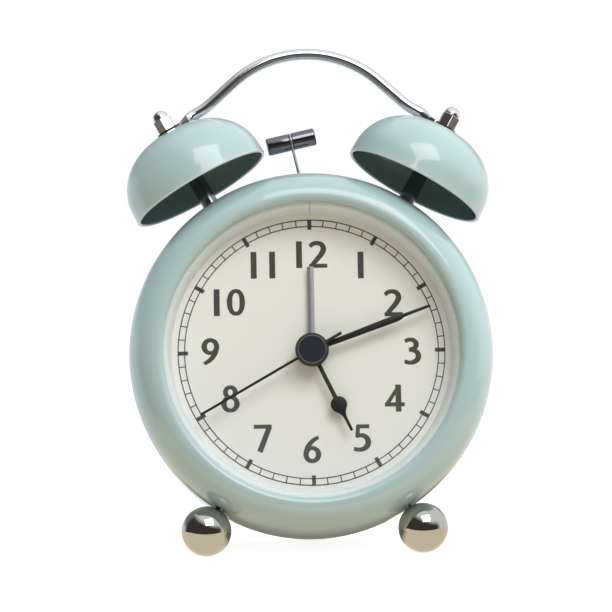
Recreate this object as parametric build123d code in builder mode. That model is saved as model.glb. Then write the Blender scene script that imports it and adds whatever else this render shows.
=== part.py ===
"""Twin-bell alarm clock with a leaning drum case, ball feet, a hammer and a quartz movement.

The clock is drawn in its own directions: u to the right across the dial, v up the dial and
depth back from the front lip. The whole clock leans back by one angle on its two ball feet and
the lower back edge of the case. Lengths are in millimetres.
"""
import os
from math import cos, pi, radians, sin, sqrt, tan

from build123d import *

os.makedirs("parts", exist_ok=True)

# Stance
lean = 9.5

# Drum case, drawn from sheet steel
case_radius = 58.0
case_depth = 48.0
case_wall = 0.9
shoulder_depth = 17.0
lip_radius = 2.0
opening_radius = 46.5
lip_crest = opening_radius + lip_radius
back_roll = 1.5
back_opening = 55.2
wire_slot_length = 10.0
wire_slot_width = 2.6

# Lens, spacer ring and dial, from the lip back
lens_radius = 47.2
lens_front = 2.2
lens_back = 3.7
ring_outer = 50.5
ring_inner_front = 46.3
ring_inner_back = 45.6
dial_radius = 50.0
dial_front = 11.5
dial_back = 12.1
backing_radius = 52.0
backing_back = 13.7
backing_boss_radius = 3.2
boss_circle = 45.0
boss_angles = (30, 150, 270)

# Bells, their posts, the carrying handle and its cap nuts
bell_angle = 29.0
bell_offset = 3.6
bell_depth = 21.0
bell_rim_height = 64.3
bell_rim_radius = 23.6
bell_shoulder_radius = 22.4
bell_shoulder_height = 9.2
bell_dome_radius = 14.8
bell_dome_height = 18.0
bell_height = 20.8
bell_wall = 1.1
bell_seat = 3.4
post_radius = 2.7
stud_radius = 1.5
stud_clearance = 0.05
tab_thickness = 1.2
tab_width = 8.5
handle_rod = 1.8
rod_rise = 1.2
handle_top = 98.8
handle_arch = 35.0
handle_arch_half = 42.5
nut_flats = 5.5
cap_nut_hex = 4.4
cap_nut_height = 7.4
plain_nut_height = 2.4

# Ball feet
foot_radius = 7.8
foot_angle = 31.2
foot_reach = 65.5

# Hammer and its magnet striker
hammer_pivot_height = 46.6
hammer_lean = -12.7
hammer_arm = 23.68
hammer_length = 16.0
hammer_radius = 2.8
hammer_groove = 1.9
hammer_wire_radius = 0.45
pivot_pin = 1.0
pivot_bore = 1.05
rocker_hub = 3.0
armature_reach = 13.2
coil_height = 33.4
coil_left = -17.0
coil_right = -7.0

# Back cover, battery well and controls
cover_radius = 56.2
cover_thickness = 1.6
cover_back = case_depth + cover_thickness
well_half_width = 28.5
well_bottom = -36.5
well_top = -19.5
well_floor = 30.9
well_wall = 1.0
cell_radius = 7.15
cell_length = 49.5
cell_height = -28.0
cell_depth = 38.7
door_gap = 0.3
knob_radius = 6.5
knob_front = 50.2
knob_back = 58.4
knob_flutes = 20
switch_height = 20.0
switch_travel = 5.0

# Movement box
movement_half_width = 29.0
movement_bottom = -17.5
movement_top = 26.5
plate_back = 15.2
movement_back = 30.5
movement_wall = 1.5
collar_radius = 4.0
collar_clearance = 0.1
collar_front = 10.5

# Coaxial arbors at the centre of the dial, each running in the next
second_arbor_radius = 0.5
minute_bore = 0.6
minute_radius = 1.1
hour_bore = 1.2
hour_radius = 1.75
alarm_bore = 1.85
alarm_radius = 2.4
collar_bore = 2.5
set_shaft_radius = 0.9
set_shaft_bore = 0.95

# Gear train: teeth and modules
motion_module = 0.65
cannon_teeth = 10
motion_teeth = 30
motion_pinion_teeth = 8
hour_teeth = 32
alarm_module = 0.6
alarm_pinion_teeth = 12
alarm_teeth = 36
centre_module = 0.32
third_pinion_teeth = 8
centre_teeth = 64
second_pinion_teeth = 8
third_teeth = 60
motion_u = motion_module * (cannon_teeth + motion_teeth) / 2
alarm_u = -alarm_module * (alarm_pinion_teeth + alarm_teeth) / 2
third_v = centre_module * (third_pinion_teeth + centre_teeth) / 2
third_module = 2 * third_v / (second_pinion_teeth + third_teeth)

# Hands: clock angles clockwise from twelve, and lengths
second_angle = 240.5
minute_angle = 70.0
hour_angle = 154.4
alarm_angle = 0.0
second_length = 40.5
minute_length = 40.0
hour_length = 28.2
alarm_length = 27.0
second_tail = 10.7

# The frame: the lowest points of the feet and of the back edge are on the floor, and the
# whole box is centred fore and aft.
lean_sin = sin(radians(lean))
lean_cos = cos(radians(lean))
clock_right = Vector(1, 0, 0)
clock_up = Vector(0, lean_sin, lean_cos)
clock_out = Vector(0, -lean_cos, lean_sin)
back_edge = case_radius - back_roll
lip_height = back_edge * lean_cos + (case_depth - back_roll) * lean_sin + back_roll
foot_depth = (lip_height - foot_reach * cos(radians(foot_angle)) * lean_cos - foot_radius) / lean_sin
reach_front = lip_crest * lean_sin + lip_radius * (1 - lean_cos)
reach_back = knob_back * lean_cos + knob_radius * lean_sin
lip_centre = Vector(0, (reach_front - reach_back) / 2, lip_height)


def clock_point(u, v, depth):
    return lip_centre + clock_right * u + clock_up * v - clock_out * depth


def face_plane(depth, u=0, v=0):
    """A plane across the dial direction, facing the viewer."""
    return Plane(origin=clock_point(u, v, depth), x_dir=clock_right, z_dir=clock_out)


def section_plane(u=0, v=0):
    """A plane for turned profiles: x is the radius, y runs towards the viewer from the lip."""
    return Plane(origin=clock_point(u, v, 0), x_dir=clock_right, z_dir=clock_up * -1)


def arbor_axis(u=0, v=0):
    return Axis(clock_point(u, v, 0), clock_out)


def direction(angle):
    """The direction at a clock angle, clockwise from twelve."""
    return clock_right * sin(radians(angle)) + clock_up * cos(radians(angle))


def across(angle):
    return clock_right * cos(radians(angle)) - clock_up * sin(radians(angle))


def spoke_plane(angle, depth, u=0, v=0):
    """A plane along the dial: y runs out along a clock angle, x across it."""
    return Plane(origin=clock_point(u, v, depth), x_dir=across(angle), z_dir=clock_out)


def spoke_axis(angle, depth, u=0, v=0):
    return Axis(clock_point(u, v, depth), direction(angle))


def end_plane(angle, reach, depth, u=0, v=0):
    """A plane square to a clock angle, at a reach from the clock's axis, facing outwards."""
    origin = clock_point(u, v, depth) + direction(angle) * reach
    return Plane(origin=origin, x_dir=across(angle), z_dir=direction(angle))


# A bell's axis passes a little outside the clock's axis. The sign is -1 on the left, 1 on the right.
bell_u = bell_offset * cos(radians(bell_angle))
bell_v = -bell_offset * sin(radians(bell_angle))


def bell_section(sign):
    return spoke_plane(sign * bell_angle, bell_depth, sign * bell_u, bell_v)


def bell_axis(sign):
    return spoke_axis(sign * bell_angle, bell_depth, sign * bell_u, bell_v)


def bell_end(sign, reach):
    return end_plane(sign * bell_angle, reach, bell_depth, sign * bell_u, bell_v)


def save(piece, name):
    piece.part.label = name
    export_step(piece.part, f"parts/{name}.step")


# Case shell

with BuildPart() as case_shell:
    with BuildSketch(section_plane()):
        with BuildLine():
            outer_shoulder = EllipticalCenterArc(
                (lip_crest, -shoulder_depth), case_radius - lip_crest, shoulder_depth, arc_size=90
            )
            lip = CenterArc((lip_crest, -lip_radius), lip_radius, 90, 90)
            inner_lip = CenterArc((lip_crest, -lip_radius), lip_radius - case_wall, 90, 90)
            inner_shoulder = EllipticalCenterArc(
                (lip_crest, -shoulder_depth),
                case_radius - case_wall - lip_crest,
                shoulder_depth - case_wall,
                arc_size=90,
            )
            Polyline(
                lip @ 1,
                (opening_radius, -lens_front),
                (opening_radius + case_wall, -lens_front),
                inner_lip @ 1,
            )
            inner_roll = CenterArc((back_edge, -case_depth + back_roll), back_roll - case_wall, 270, 90)
            outer_roll = CenterArc((back_edge, -case_depth + back_roll), back_roll, 270, 90)
            Line(inner_shoulder @ 0, inner_roll @ 1)
            Line(outer_shoulder @ 0, outer_roll @ 1)
            Polyline(
                inner_roll @ 0,
                (back_opening, -case_depth + case_wall),
                (back_opening, -case_depth),
                outer_roll @ 0,
            )
        make_face()
    revolve(axis=arbor_axis())
    cut_through = case_radius - opening_radius + 1
    for hole_plane in (
        bell_end(-1, opening_radius),
        bell_end(1, opening_radius),
        end_plane(180 - foot_angle, opening_radius, foot_depth),
        end_plane(180 + foot_angle, opening_radius, foot_depth),
    ):
        with BuildSketch(hole_plane):
            Circle(stud_radius + stud_clearance)
        extrude(amount=cut_through, mode=Mode.SUBTRACT)
    with BuildSketch(end_plane(0, opening_radius, bell_depth)):
        SlotOverall(wire_slot_length, wire_slot_width)
    extrude(amount=cut_through, mode=Mode.SUBTRACT)
save(case_shell, "case_shell")

# Lens, spacer ring, dial and its backing plate

with BuildPart() as lens:
    with BuildSketch(face_plane(lens_back)):
        Circle(lens_radius)
    extrude(amount=lens_back - lens_front)
save(lens, "lens")

with BuildPart() as lens_ring:
    with BuildSketch(section_plane()):
        with BuildLine():
            Polyline(
                (ring_inner_front, -lens_back),
                (ring_outer, -lens_back),
                (ring_outer, -dial_front),
                (ring_inner_back, -dial_front),
                close=True,
            )
        make_face()
    revolve(axis=arbor_axis())
save(lens_ring, "lens_ring")

with BuildPart() as dial:
    with BuildSketch(face_plane(dial_back)):
        Circle(dial_radius)
        Circle(collar_radius + collar_clearance, mode=Mode.SUBTRACT)
    extrude(amount=dial_back - dial_front)
save(dial, "dial")

screw_radius = 1.25
screw_hole = 11.0
with BuildPart() as dial_backing:
    with BuildSketch(face_plane(backing_back)):
        Circle(backing_radius)
        Circle(collar_radius + collar_clearance, mode=Mode.SUBTRACT)
    extrude(amount=backing_back - dial_back)
    with BuildSketch(face_plane(case_depth)):
        for boss_angle in boss_angles:
            with PolarLocations(boss_circle, 1, start_angle=boss_angle):
                Circle(backing_boss_radius)
    extrude(amount=case_depth - backing_back)
    with BuildSketch(face_plane(case_depth)):
        for boss_angle in boss_angles:
            with PolarLocations(boss_circle, 1, start_angle=boss_angle):
                Circle(screw_radius)
    extrude(amount=screw_hole, mode=Mode.SUBTRACT)
save(dial_backing, "dial_backing")

# Movement: front plate with its threaded collar, rear tub, dial nut

movement_height = movement_top - movement_bottom
movement_v = (movement_top + movement_bottom) / 2
third_pin_radius = 0.5
third_bore = 0.55
third_pin_length = 8.2
stator_posts = ((-12, -13), (12, -13))
stator_post_radius = 1.2
stator_post_height = 2.0
movement_corner = 4.0

with BuildPart() as movement_plate:
    with BuildSketch(face_plane(plate_back, v=movement_v)):
        RectangleRounded(2 * movement_half_width, movement_height, movement_corner)
    extrude(amount=plate_back - backing_back)
    with BuildSketch(face_plane(backing_back)):
        Circle(collar_radius)
    extrude(amount=backing_back - collar_front)
    with BuildSketch(face_plane(plate_back)):
        Circle(collar_bore)
        with Locations((motion_u, 0), (alarm_u, 0)):
            Circle(set_shaft_bore)
    extrude(amount=plate_back - collar_front, mode=Mode.SUBTRACT)
save(movement_plate, "movement_plate")

with BuildPart() as movement_case:
    with BuildSketch(face_plane(movement_back, v=movement_v)):
        RectangleRounded(2 * movement_half_width, movement_height, movement_corner)
    extrude(amount=movement_back - plate_back)
    with BuildSketch(face_plane(movement_back - movement_wall, v=movement_v)):
        RectangleRounded(
            2 * (movement_half_width - movement_wall),
            movement_height - 2 * movement_wall,
            movement_corner - movement_wall,
        )
    extrude(amount=movement_back - movement_wall - plate_back, mode=Mode.SUBTRACT)
    with BuildSketch(face_plane(movement_back - movement_wall)):
        with Locations(*stator_posts):
            Circle(stator_post_radius)
    extrude(amount=stator_post_height)
    with BuildSketch(face_plane(movement_back - movement_wall, v=third_v)):
        Circle(third_pin_radius)
    extrude(amount=third_pin_length)
    with BuildSketch(face_plane(movement_back)):
        Circle(second_arbor_radius + 0.05)
        with Locations((motion_u, 0), (alarm_u, 0)):
            Circle(set_shaft_bore)
    extrude(amount=movement_wall, mode=Mode.SUBTRACT)
save(movement_case, "movement_case")

dial_nut_radius = 5.0
with BuildPart() as dial_nut:
    with BuildSketch(face_plane(dial_front)):
        Circle(dial_nut_radius)
        Circle(collar_radius + stud_clearance, mode=Mode.SUBTRACT)
    extrude(amount=dial_front - collar_front)
save(dial_nut, "dial_nut")

# Stepper motor of the movement: flat stator, coil round its lower leg, and the circuit board

stator_back = 27.0
stator_front = 26.0
coil_v = -13.0
with BuildPart() as stepper_stator:
    with BuildSketch(face_plane(stator_back)):
        with Locations((0, coil_v)):
            RectangleRounded(28, 3, 1)
        with Locations((-8, -7.5), (8, -7.5)):
            Rectangle(4, 11)
        with Locations((0, -4.2)):
            Rectangle(16, 4.4)
            Circle(1.6, mode=Mode.SUBTRACT)
    extrude(amount=stator_back - stator_front)
save(stepper_stator, "stepper_stator")

with BuildPart() as stepper_coil:
    coil_end = clock_point(-5.6, coil_v, (stator_front + stator_back) / 2)
    with BuildSketch(Plane(coil_end, clock_up, clock_right)):
        RectangleRounded(5.4, 4.0, 1.2)
        Rectangle(3.0, stator_back - stator_front, mode=Mode.SUBTRACT)
    extrude(amount=11.2)
save(stepper_coil, "stepper_coil")

board_thickness = 0.8
with BuildPart() as circuit_board:
    with BuildSketch(face_plane(movement_back - movement_wall, -20, 12)):
        RectangleRounded(13, 22, 1)
    extrude(amount=board_thickness)
    with BuildSketch(face_plane(movement_back - movement_wall - board_thickness, -20, 14)):
        Circle(3)
    extrude(amount=1)
save(circuit_board, "circuit_board")

# Gears: straight-flanked teeth, thinned for running clearance

tooth_share = 0.36
tooth_addendum = 0.72
tooth_dedendum = 1.05
tooth_slope = tan(radians(18))


def gear_outline(teeth, module, phase, pinion=False):
    """A toothed disc in the open sketch, with one tooth centred on the phase angle."""
    pitch_radius = teeth * module / 2
    root = pitch_radius - tooth_dedendum * module
    tip = pitch_radius + tooth_addendum * module
    half = tooth_share * pi * module / 2
    half_tip = half - tooth_addendum * module * tooth_slope
    half_root = 0.85 * half if pinion else half + tooth_dedendum * module * tooth_slope
    foot = sqrt(root**2 - half_root**2) - 0.05 * module
    Circle(root)
    with PolarLocations(0, teeth, start_angle=phase):
        Polygon(
            (foot, -half_root),
            (pitch_radius, -half),
            (tip, -half_tip),
            (tip, half_tip),
            (pitch_radius, half),
            (foot, half_root),
            align=None,
        )


def gear(front, back, teeth, module, phase, u=0, v=0, pinion=False):
    with BuildSketch(face_plane(back, u, v)) as outline:
        gear_outline(teeth, module, phase, pinion)
    extrude(outline.sketch, amount=back - front)


def round_bar(front, back, radius, u=0, v=0, mode=Mode.ADD):
    with BuildSketch(face_plane(back, u, v)) as outline:
        Circle(radius)
    extrude(outline.sketch, amount=back - front, mode=mode)


alarm_wheel_front, alarm_wheel_back = 15.6, 16.6
hour_wheel_front, hour_wheel_back = 17.2, 18.2
motion_pinion_front, motion_pinion_back = 16.9, 18.6
motion_wheel_front, motion_wheel_back = 19.3, 20.3
cannon_front, cannon_back = 18.8, 20.8
centre_wheel_front, centre_wheel_back = 21.6, 22.4
minute_tube_back = 23.1
third_pinion_front, third_wheel_front, third_wheel_back = 21.2, 24.2, 25.0
second_pinion_front, second_pinion_back = 23.8, 25.4
set_shaft_front, set_shaft_back = 14.2, 56.0

# Hands and the depths that they turn at
cap_front, cap_back = 4.5, 6.3
second_hand_front, second_hand_back = 6.3, 6.7
minute_hand_front, minute_hand_back = 7.3, 7.8
hour_hand_front, hour_hand_back = 8.5, 9.0
alarm_hand_front, alarm_hand_back = 9.5, 10.1

with BuildPart() as alarm_wheel:
    gear(alarm_wheel_front, alarm_wheel_back, alarm_teeth, alarm_module, 180)
    round_bar(alarm_hand_back - 0.4, alarm_wheel_back, alarm_radius)
    round_bar(alarm_hand_back - 0.4, alarm_wheel_back, alarm_bore, mode=Mode.SUBTRACT)
save(alarm_wheel, "alarm_wheel")

with BuildPart() as hour_wheel:
    gear(hour_wheel_front, hour_wheel_back, hour_teeth, motion_module, 0)
    round_bar(hour_hand_front, hour_wheel_back, hour_radius)
    round_bar(hour_hand_front, hour_wheel_back, hour_bore, mode=Mode.SUBTRACT)
save(hour_wheel, "hour_wheel")

with BuildPart() as minute_tube:
    gear(cannon_front, cannon_back, cannon_teeth, motion_module, 0, pinion=True)
    round_bar(minute_hand_front, minute_tube_back, minute_radius)
    round_bar(centre_wheel_back + 0.3, minute_tube_back, 1.8)
    round_bar(minute_hand_front, minute_tube_back, minute_bore, mode=Mode.SUBTRACT)
save(minute_tube, "minute_tube")

with BuildPart() as motion_wheel:
    gear(
        motion_wheel_front,
        motion_wheel_back,
        motion_teeth,
        motion_module,
        180 + 180 / motion_teeth,
        motion_u,
    )
    gear(
        motion_pinion_front,
        motion_wheel_front,
        motion_pinion_teeth,
        motion_module,
        180 + 180 / motion_pinion_teeth,
        motion_u,
        pinion=True,
    )
    round_bar(set_shaft_front, set_shaft_back, set_shaft_radius, motion_u)
save(motion_wheel, "motion_wheel")

with BuildPart() as alarm_set_shaft:
    gear(
        alarm_wheel_front - 0.1,
        alarm_wheel_back + 0.1,
        alarm_pinion_teeth,
        alarm_module,
        180 / alarm_pinion_teeth,
        alarm_u,
        pinion=True,
    )
    round_bar(set_shaft_front, set_shaft_back, set_shaft_radius, alarm_u)
save(alarm_set_shaft, "alarm_set_shaft")

with BuildPart() as centre_wheel:
    gear(centre_wheel_front, centre_wheel_back, centre_teeth, centre_module, 90)
    round_bar(centre_wheel_front, centre_wheel_back, minute_radius + 0.05, mode=Mode.SUBTRACT)
save(centre_wheel, "centre_wheel")

with BuildPart() as third_wheel:
    gear(
        third_wheel_front,
        third_wheel_back,
        third_teeth,
        third_module,
        270 + 180 / third_teeth,
        v=third_v,
    )
    gear(
        third_pinion_front,
        third_wheel_front,
        third_pinion_teeth,
        centre_module,
        270 + 180 / third_pinion_teeth,
        v=third_v,
        pinion=True,
    )
    round_bar(third_pinion_front, third_wheel_back, third_bore, v=third_v, mode=Mode.SUBTRACT)
save(third_wheel, "third_wheel")

with BuildPart() as second_arbor:
    gear(second_pinion_front, second_pinion_back, second_pinion_teeth, third_module, 90, pinion=True)
    round_bar(cap_back - 0.8, movement_back, second_arbor_radius)
save(second_arbor, "second_arbor")

# Hands: lance minute hand, teardrop hour hand, folded alarm hand, needle second hand

hand_hub = 3.2
with BuildPart() as minute_hand:
    with BuildSketch(spoke_plane(minute_angle, minute_hand_back)):
        Circle(hand_hub)
        with BuildLine():
            Polyline(
                (-0.75, 0),
                (-1.25, 0.72 * minute_length),
                (-0.4, 0.78 * minute_length),
                (-0.12, minute_length),
                (0.12, minute_length),
                (0.4, 0.78 * minute_length),
                (1.25, 0.72 * minute_length),
                (0.75, 0),
                close=True,
            )
        make_face()
        Circle(minute_radius, mode=Mode.SUBTRACT)
    extrude(amount=minute_hand_back - minute_hand_front)
save(minute_hand, "minute_hand")

bulb_centre = 0.68 * hour_length
bulb_radius = 2.6
with BuildPart() as hour_hand:
    with BuildSketch(spoke_plane(hour_angle, hour_hand_back)):
        Circle(hand_hub)
        with Locations((0, bulb_centre / 2)):
            Rectangle(1.3, bulb_centre)
        with Locations((0, bulb_centre)):
            Circle(bulb_radius)
        with BuildLine():
            Polyline(
                (-0.93 * bulb_radius, bulb_centre + 0.36 * bulb_radius),
                (-0.14, hour_length),
                (0.14, hour_length),
                (0.93 * bulb_radius, bulb_centre + 0.36 * bulb_radius),
                close=True,
            )
        make_face()
        Circle(hour_radius, mode=Mode.SUBTRACT)
    extrude(amount=hour_hand_back - hour_hand_front)
save(hour_hand, "hour_hand")

alarm_half_width = 1.05
alarm_edge = 0.15
alarm_ridge = 0.5
with BuildPart() as alarm_hand:
    with BuildSketch(end_plane(alarm_angle, 0, alarm_hand_back)):
        Polygon(
            (-alarm_half_width, 0),
            (-alarm_half_width, -alarm_edge),
            (0, -alarm_ridge),
            (alarm_half_width, -alarm_edge),
            (alarm_half_width, 0),
            align=None,
        )
    extrude(amount=alarm_length)
    round_bar(alarm_hand_back - 0.4, alarm_hand_back, hand_hub)
    round_bar(alarm_hand_front, alarm_hand_back, alarm_radius, mode=Mode.SUBTRACT)
save(alarm_hand, "alarm_hand")

with BuildPart() as second_hand:
    with BuildSketch(spoke_plane(second_angle, second_hand_back)):
        Circle(hand_hub)
        with BuildLine():
            Polyline(
                (-0.48, -second_tail),
                (-0.36, 0),
                (-0.3, second_length),
                (0.3, second_length),
                (0.36, 0),
                (0.48, -second_tail),
                close=True,
            )
        make_face()
        Circle(second_arbor_radius, mode=Mode.SUBTRACT)
    extrude(amount=second_hand_back - second_hand_front)
save(second_hand, "second_hand")

cap_radius = 5.3
with BuildPart() as hub_cap:
    round_bar(cap_front, cap_back, cap_radius)
    chamfer(hub_cap.faces().sort_by(arbor_axis())[-1].edges(), 0.9)
    round_bar(cap_back - 0.8, cap_back, second_arbor_radius, mode=Mode.SUBTRACT)
save(hub_cap, "hub_cap")

# Set knobs: fluted, pressed on the set shafts

for knob_name, knob_u in (("time_set_knob", motion_u), ("alarm_set_knob", alarm_u)):
    with BuildPart() as knob:
        with BuildSketch(face_plane(knob_back, knob_u)):
            Circle(knob_radius)
            with PolarLocations(knob_radius + 0.3, knob_flutes):
                Circle(0.75, mode=Mode.SUBTRACT)
        extrude(amount=knob_back - knob_front)
        chamfer(knob.faces().sort_by(arbor_axis())[0].edges(), 0.35)
        round_bar(knob_front, set_shaft_back, set_shaft_radius, knob_u, mode=Mode.SUBTRACT)
    save(knob, knob_name)

# Back cover with its battery well, the door, the cell and its contacts

well_v = (well_bottom + well_top) / 2
well_height = well_top - well_bottom
door_thickness = 1.2
hinge_depth = cover_back - door_thickness / 2
hinge_v = well_bottom + door_thickness / 2 + door_gap
spigot_radius = back_opening - 0.2

with BuildPart() as back_cover:
    with BuildSketch(face_plane(cover_back)):
        Circle(cover_radius)
    extrude(amount=cover_thickness)
    fillet(back_cover.faces().sort_by(arbor_axis())[0].edges(), 0.8)
    with BuildSketch(face_plane(case_depth)):
        Circle(spigot_radius)
        Circle(spigot_radius - 1.4, mode=Mode.SUBTRACT)
    extrude(amount=3)
    with BuildSketch(face_plane(case_depth, v=well_v)):
        Rectangle(2 * (well_half_width + well_wall), well_height + 2 * well_wall)
    extrude(amount=case_depth - well_floor + well_wall)
    with BuildSketch(face_plane(cover_back, v=well_v)):
        Rectangle(2 * well_half_width, well_height)
    extrude(amount=cover_back - well_floor, mode=Mode.SUBTRACT)
    with BuildSketch(face_plane(cover_back)):
        with Locations((motion_u, 0), (alarm_u, 0)):
            Circle(set_shaft_radius + 0.5)
        with Locations((0, switch_height)):
            SlotOverall(switch_travel + 5, 3)
        for boss_angle in boss_angles:
            with PolarLocations(boss_circle, 1, start_angle=boss_angle):
                Circle(screw_radius + 0.2)
    extrude(amount=cover_thickness, mode=Mode.SUBTRACT)
save(back_cover, "back_cover")

with BuildPart() as battery_door:
    door_top = well_top - door_gap
    with BuildSketch(Plane(clock_point(-well_half_width + door_gap, 0, 0), clock_up, clock_right)):
        with Locations((hinge_v, -hinge_depth)):
            Circle(door_thickness / 2)
        with Locations(((hinge_v + door_top) / 2, -hinge_depth)):
            Rectangle(door_top - hinge_v, door_thickness)
    extrude(amount=2 * (well_half_width - door_gap))
    with BuildSketch(face_plane(cover_back, v=well_top - 3.2)):
        SlotOverall(10, 1.6)
    extrude(amount=0.6, mode=Mode.SUBTRACT)
save(battery_door, "battery_door")

nub_radius = 2.7
nub_length = 1.0


def cell_plane(u):
    return Plane(clock_point(u, cell_height, cell_depth), clock_up, clock_right)


with BuildPart() as battery:
    with BuildSketch(cell_plane(-cell_length / 2)):
        Circle(cell_radius)
    extrude(amount=cell_length)
    fillet(battery.edges().filter_by(GeomType.CIRCLE), 0.6)
    with BuildSketch(cell_plane(cell_length / 2)):
        Circle(nub_radius)
    extrude(amount=nub_length)
save(battery, "battery")

contact_thickness = 0.4
spring_radius = 4.0
spring_wire = 0.7
spring_length = well_half_width - contact_thickness - cell_length / 2
button_radius = 1.5
with BuildPart() as battery_contacts:
    for contact_u in (-well_half_width, well_half_width - contact_thickness):
        with BuildSketch(cell_plane(contact_u)):
            RectangleRounded(12, 11, 1)
        extrude(amount=contact_thickness)
    with BuildSketch(cell_plane(contact_thickness - well_half_width)):
        Circle(spring_radius)
        Circle(spring_radius - spring_wire, mode=Mode.SUBTRACT)
    extrude(amount=spring_length)
    with BuildSketch(cell_plane(cell_length / 2 + nub_length)):
        Circle(button_radius)
    extrude(amount=spring_length - nub_length)
save(battery_contacts, "battery_contacts")

screw_length = 10.0
screw_head_radius = 2.6
screw_head_height = 1.5
with BuildPart() as back_screws:
    with BuildSketch(face_plane(cover_back)):
        for boss_angle in boss_angles:
            with PolarLocations(boss_circle, 1, start_angle=boss_angle):
                Circle(screw_radius)
    extrude(amount=screw_length)
    with BuildSketch(face_plane(cover_back + screw_head_height)):
        for boss_angle in boss_angles:
            with PolarLocations(boss_circle, 1, start_angle=boss_angle):
                Circle(screw_head_radius)
    extrude(amount=screw_head_height)
save(back_screws, "back_screws")

switch_u = -switch_travel / 2
switch_rise = 2.2
switch_gap = 0.3
with BuildPart() as alarm_switch:
    with BuildSketch(face_plane(case_depth - switch_gap, switch_u, switch_height)):
        Rectangle(14, 7)
    extrude(amount=1.2)
    with BuildSketch(face_plane(cover_back + switch_rise, switch_u, switch_height)):
        SlotOverall(4.4, 2.4)
    extrude(amount=switch_rise + cover_thickness + switch_gap)
    with BuildSketch(face_plane(cover_back + switch_rise, switch_u, switch_height)):
        with GridLocations(1.1, 1, 3, 1):
            Rectangle(0.4, 3)
    extrude(amount=0.5, mode=Mode.SUBTRACT)
save(alarm_switch, "alarm_switch")

# Bells, posts, cap nuts and the nuts inside the case

bell_crown = bell_rim_height + bell_height
post_top = bell_crown - bell_wall
tab_top = bell_crown + tab_thickness
stud_top = tab_top + 4.2
stud_foot = 53.0


def bell_curve(inset):
    """The bell's meridian, flared skirt to flat seat, set in from the outside by a wall."""
    rim = (bell_rim_radius - inset, bell_rim_height)
    shoulder = (bell_shoulder_radius - 0.93 * inset, bell_rim_height + bell_shoulder_height - 0.37 * inset)
    dome = (bell_dome_radius - 0.5 * inset, bell_rim_height + bell_dome_height - 0.87 * inset)
    seat = (bell_seat, bell_crown - inset)
    return Spline(rim, shoulder, dome, seat, tangents=((-0.1, 1), (-1, 0)))


for side, sign in (("left", -1), ("right", 1)):
    with BuildPart() as bell:
        with BuildSketch(bell_section(sign)):
            with BuildLine():
                outside = bell_curve(0)
                inside = bell_curve(bell_wall)
                Line(outside @ 0, inside @ 0)
                Polyline(
                    outside @ 1,
                    (stud_radius, bell_crown),
                    (stud_radius, bell_crown - bell_wall),
                    inside @ 1,
                )
            make_face()
        revolve(axis=bell_axis(sign))
        rim_edges = bell.edges().filter_by(GeomType.CIRCLE).sort_by(bell_axis(sign))[:2]
        fillet(rim_edges, 0.4)
    save(bell, f"bell_{side}")

    with BuildPart() as post:
        with BuildSketch(bell_end(sign, case_radius - 2)):
            Circle(post_radius)
        extrude(amount=post_top - case_radius + 2)
        with BuildSketch(face_plane(case_depth)):
            Circle(case_radius)
        extrude(amount=case_depth, mode=Mode.SUBTRACT)
        with BuildSketch(bell_end(sign, stud_foot)):
            Circle(stud_radius)
        extrude(amount=stud_top - stud_foot)
    save(post, f"bell_post_{side}")

    with BuildPart() as foot:
        foot_turn = 180 - sign * foot_angle
        with BuildSketch(spoke_plane(foot_turn, foot_depth)):
            with BuildLine():
                ball = CenterArc((0, foot_reach), foot_radius, -90, 180)
                Line(ball @ 0, ball @ 1)
            make_face()
        revolve(axis=spoke_axis(foot_turn, foot_depth))
        with BuildSketch(end_plane(foot_turn, stud_foot - 0.8, foot_depth)):
            Circle(stud_radius)
        extrude(amount=foot_reach - stud_foot)
    save(foot, f"foot_{side}")

with BuildPart() as acorn_nuts:
    for sign in (-1, 1):
        with BuildSketch(bell_end(sign, tab_top)):
            RegularPolygon(nut_flats / 2, 6, major_radius=False)
        extrude(amount=cap_nut_hex)
        dome_radius = nut_flats / 2 - 0.1
        dome_start = tab_top + cap_nut_height - dome_radius
        with BuildSketch(bell_section(sign)):
            with BuildLine():
                Polyline((0, tab_top), (dome_radius, tab_top), (dome_radius, dome_start))
                CenterArc((0, dome_start), dome_radius, 0, 90)
                Line((0, tab_top + cap_nut_height), (0, tab_top))
            make_face()
        revolve(axis=bell_axis(sign))
        with BuildSketch(bell_end(sign, tab_top)):
            Circle(stud_radius)
        extrude(amount=stud_top - tab_top, mode=Mode.SUBTRACT)
save(acorn_nuts, "acorn_nuts")

nut_corner = nut_flats / sqrt(3)
post_nut_top = sqrt((case_radius - case_wall) ** 2 - (bell_offset + nut_corner) ** 2) - 0.1
with BuildPart() as post_nuts:
    for sign in (-1, 1):
        with BuildSketch(bell_end(sign, post_nut_top - plain_nut_height)):
            RegularPolygon(nut_flats / 2, 6, major_radius=False)
            Circle(stud_radius, mode=Mode.SUBTRACT)
        extrude(amount=plain_nut_height)
save(post_nuts, "post_nuts")

foot_nut_front = foot_depth - nut_flats / 2 - 0.5
shoulder_reach = (shoulder_depth - foot_nut_front) / (shoulder_depth - case_wall)
foot_nut_top = lip_crest + (case_radius - case_wall - lip_crest) * sqrt(1 - shoulder_reach**2) - 0.2
with BuildPart() as foot_nuts:
    for foot_turn in (180 - foot_angle, 180 + foot_angle):
        with BuildSketch(end_plane(foot_turn, foot_nut_top - plain_nut_height, foot_depth)):
            RegularPolygon(nut_flats / 2, 6, major_radius=False)
            Circle(stud_radius, mode=Mode.SUBTRACT)
        extrude(amount=plain_nut_height)
save(foot_nuts, "foot_nuts")

# Carrying handle: a bent rod with flattened ends under the cap nuts, made as a half and mirrored

tab_line = bell_crown + tab_thickness / 2
flat_start = 4.6
round_start = 9.0
bend_length = 3.0
handle_middle = clock_point(bell_u, bell_v, bell_depth)
arch_middle = clock_point(0, handle_top - handle_arch, bell_depth)
tab_out = across(bell_angle)
arch_out = across(handle_arch_half)


def arch_point(angle):
    return arch_middle + direction(angle) * handle_arch


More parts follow.
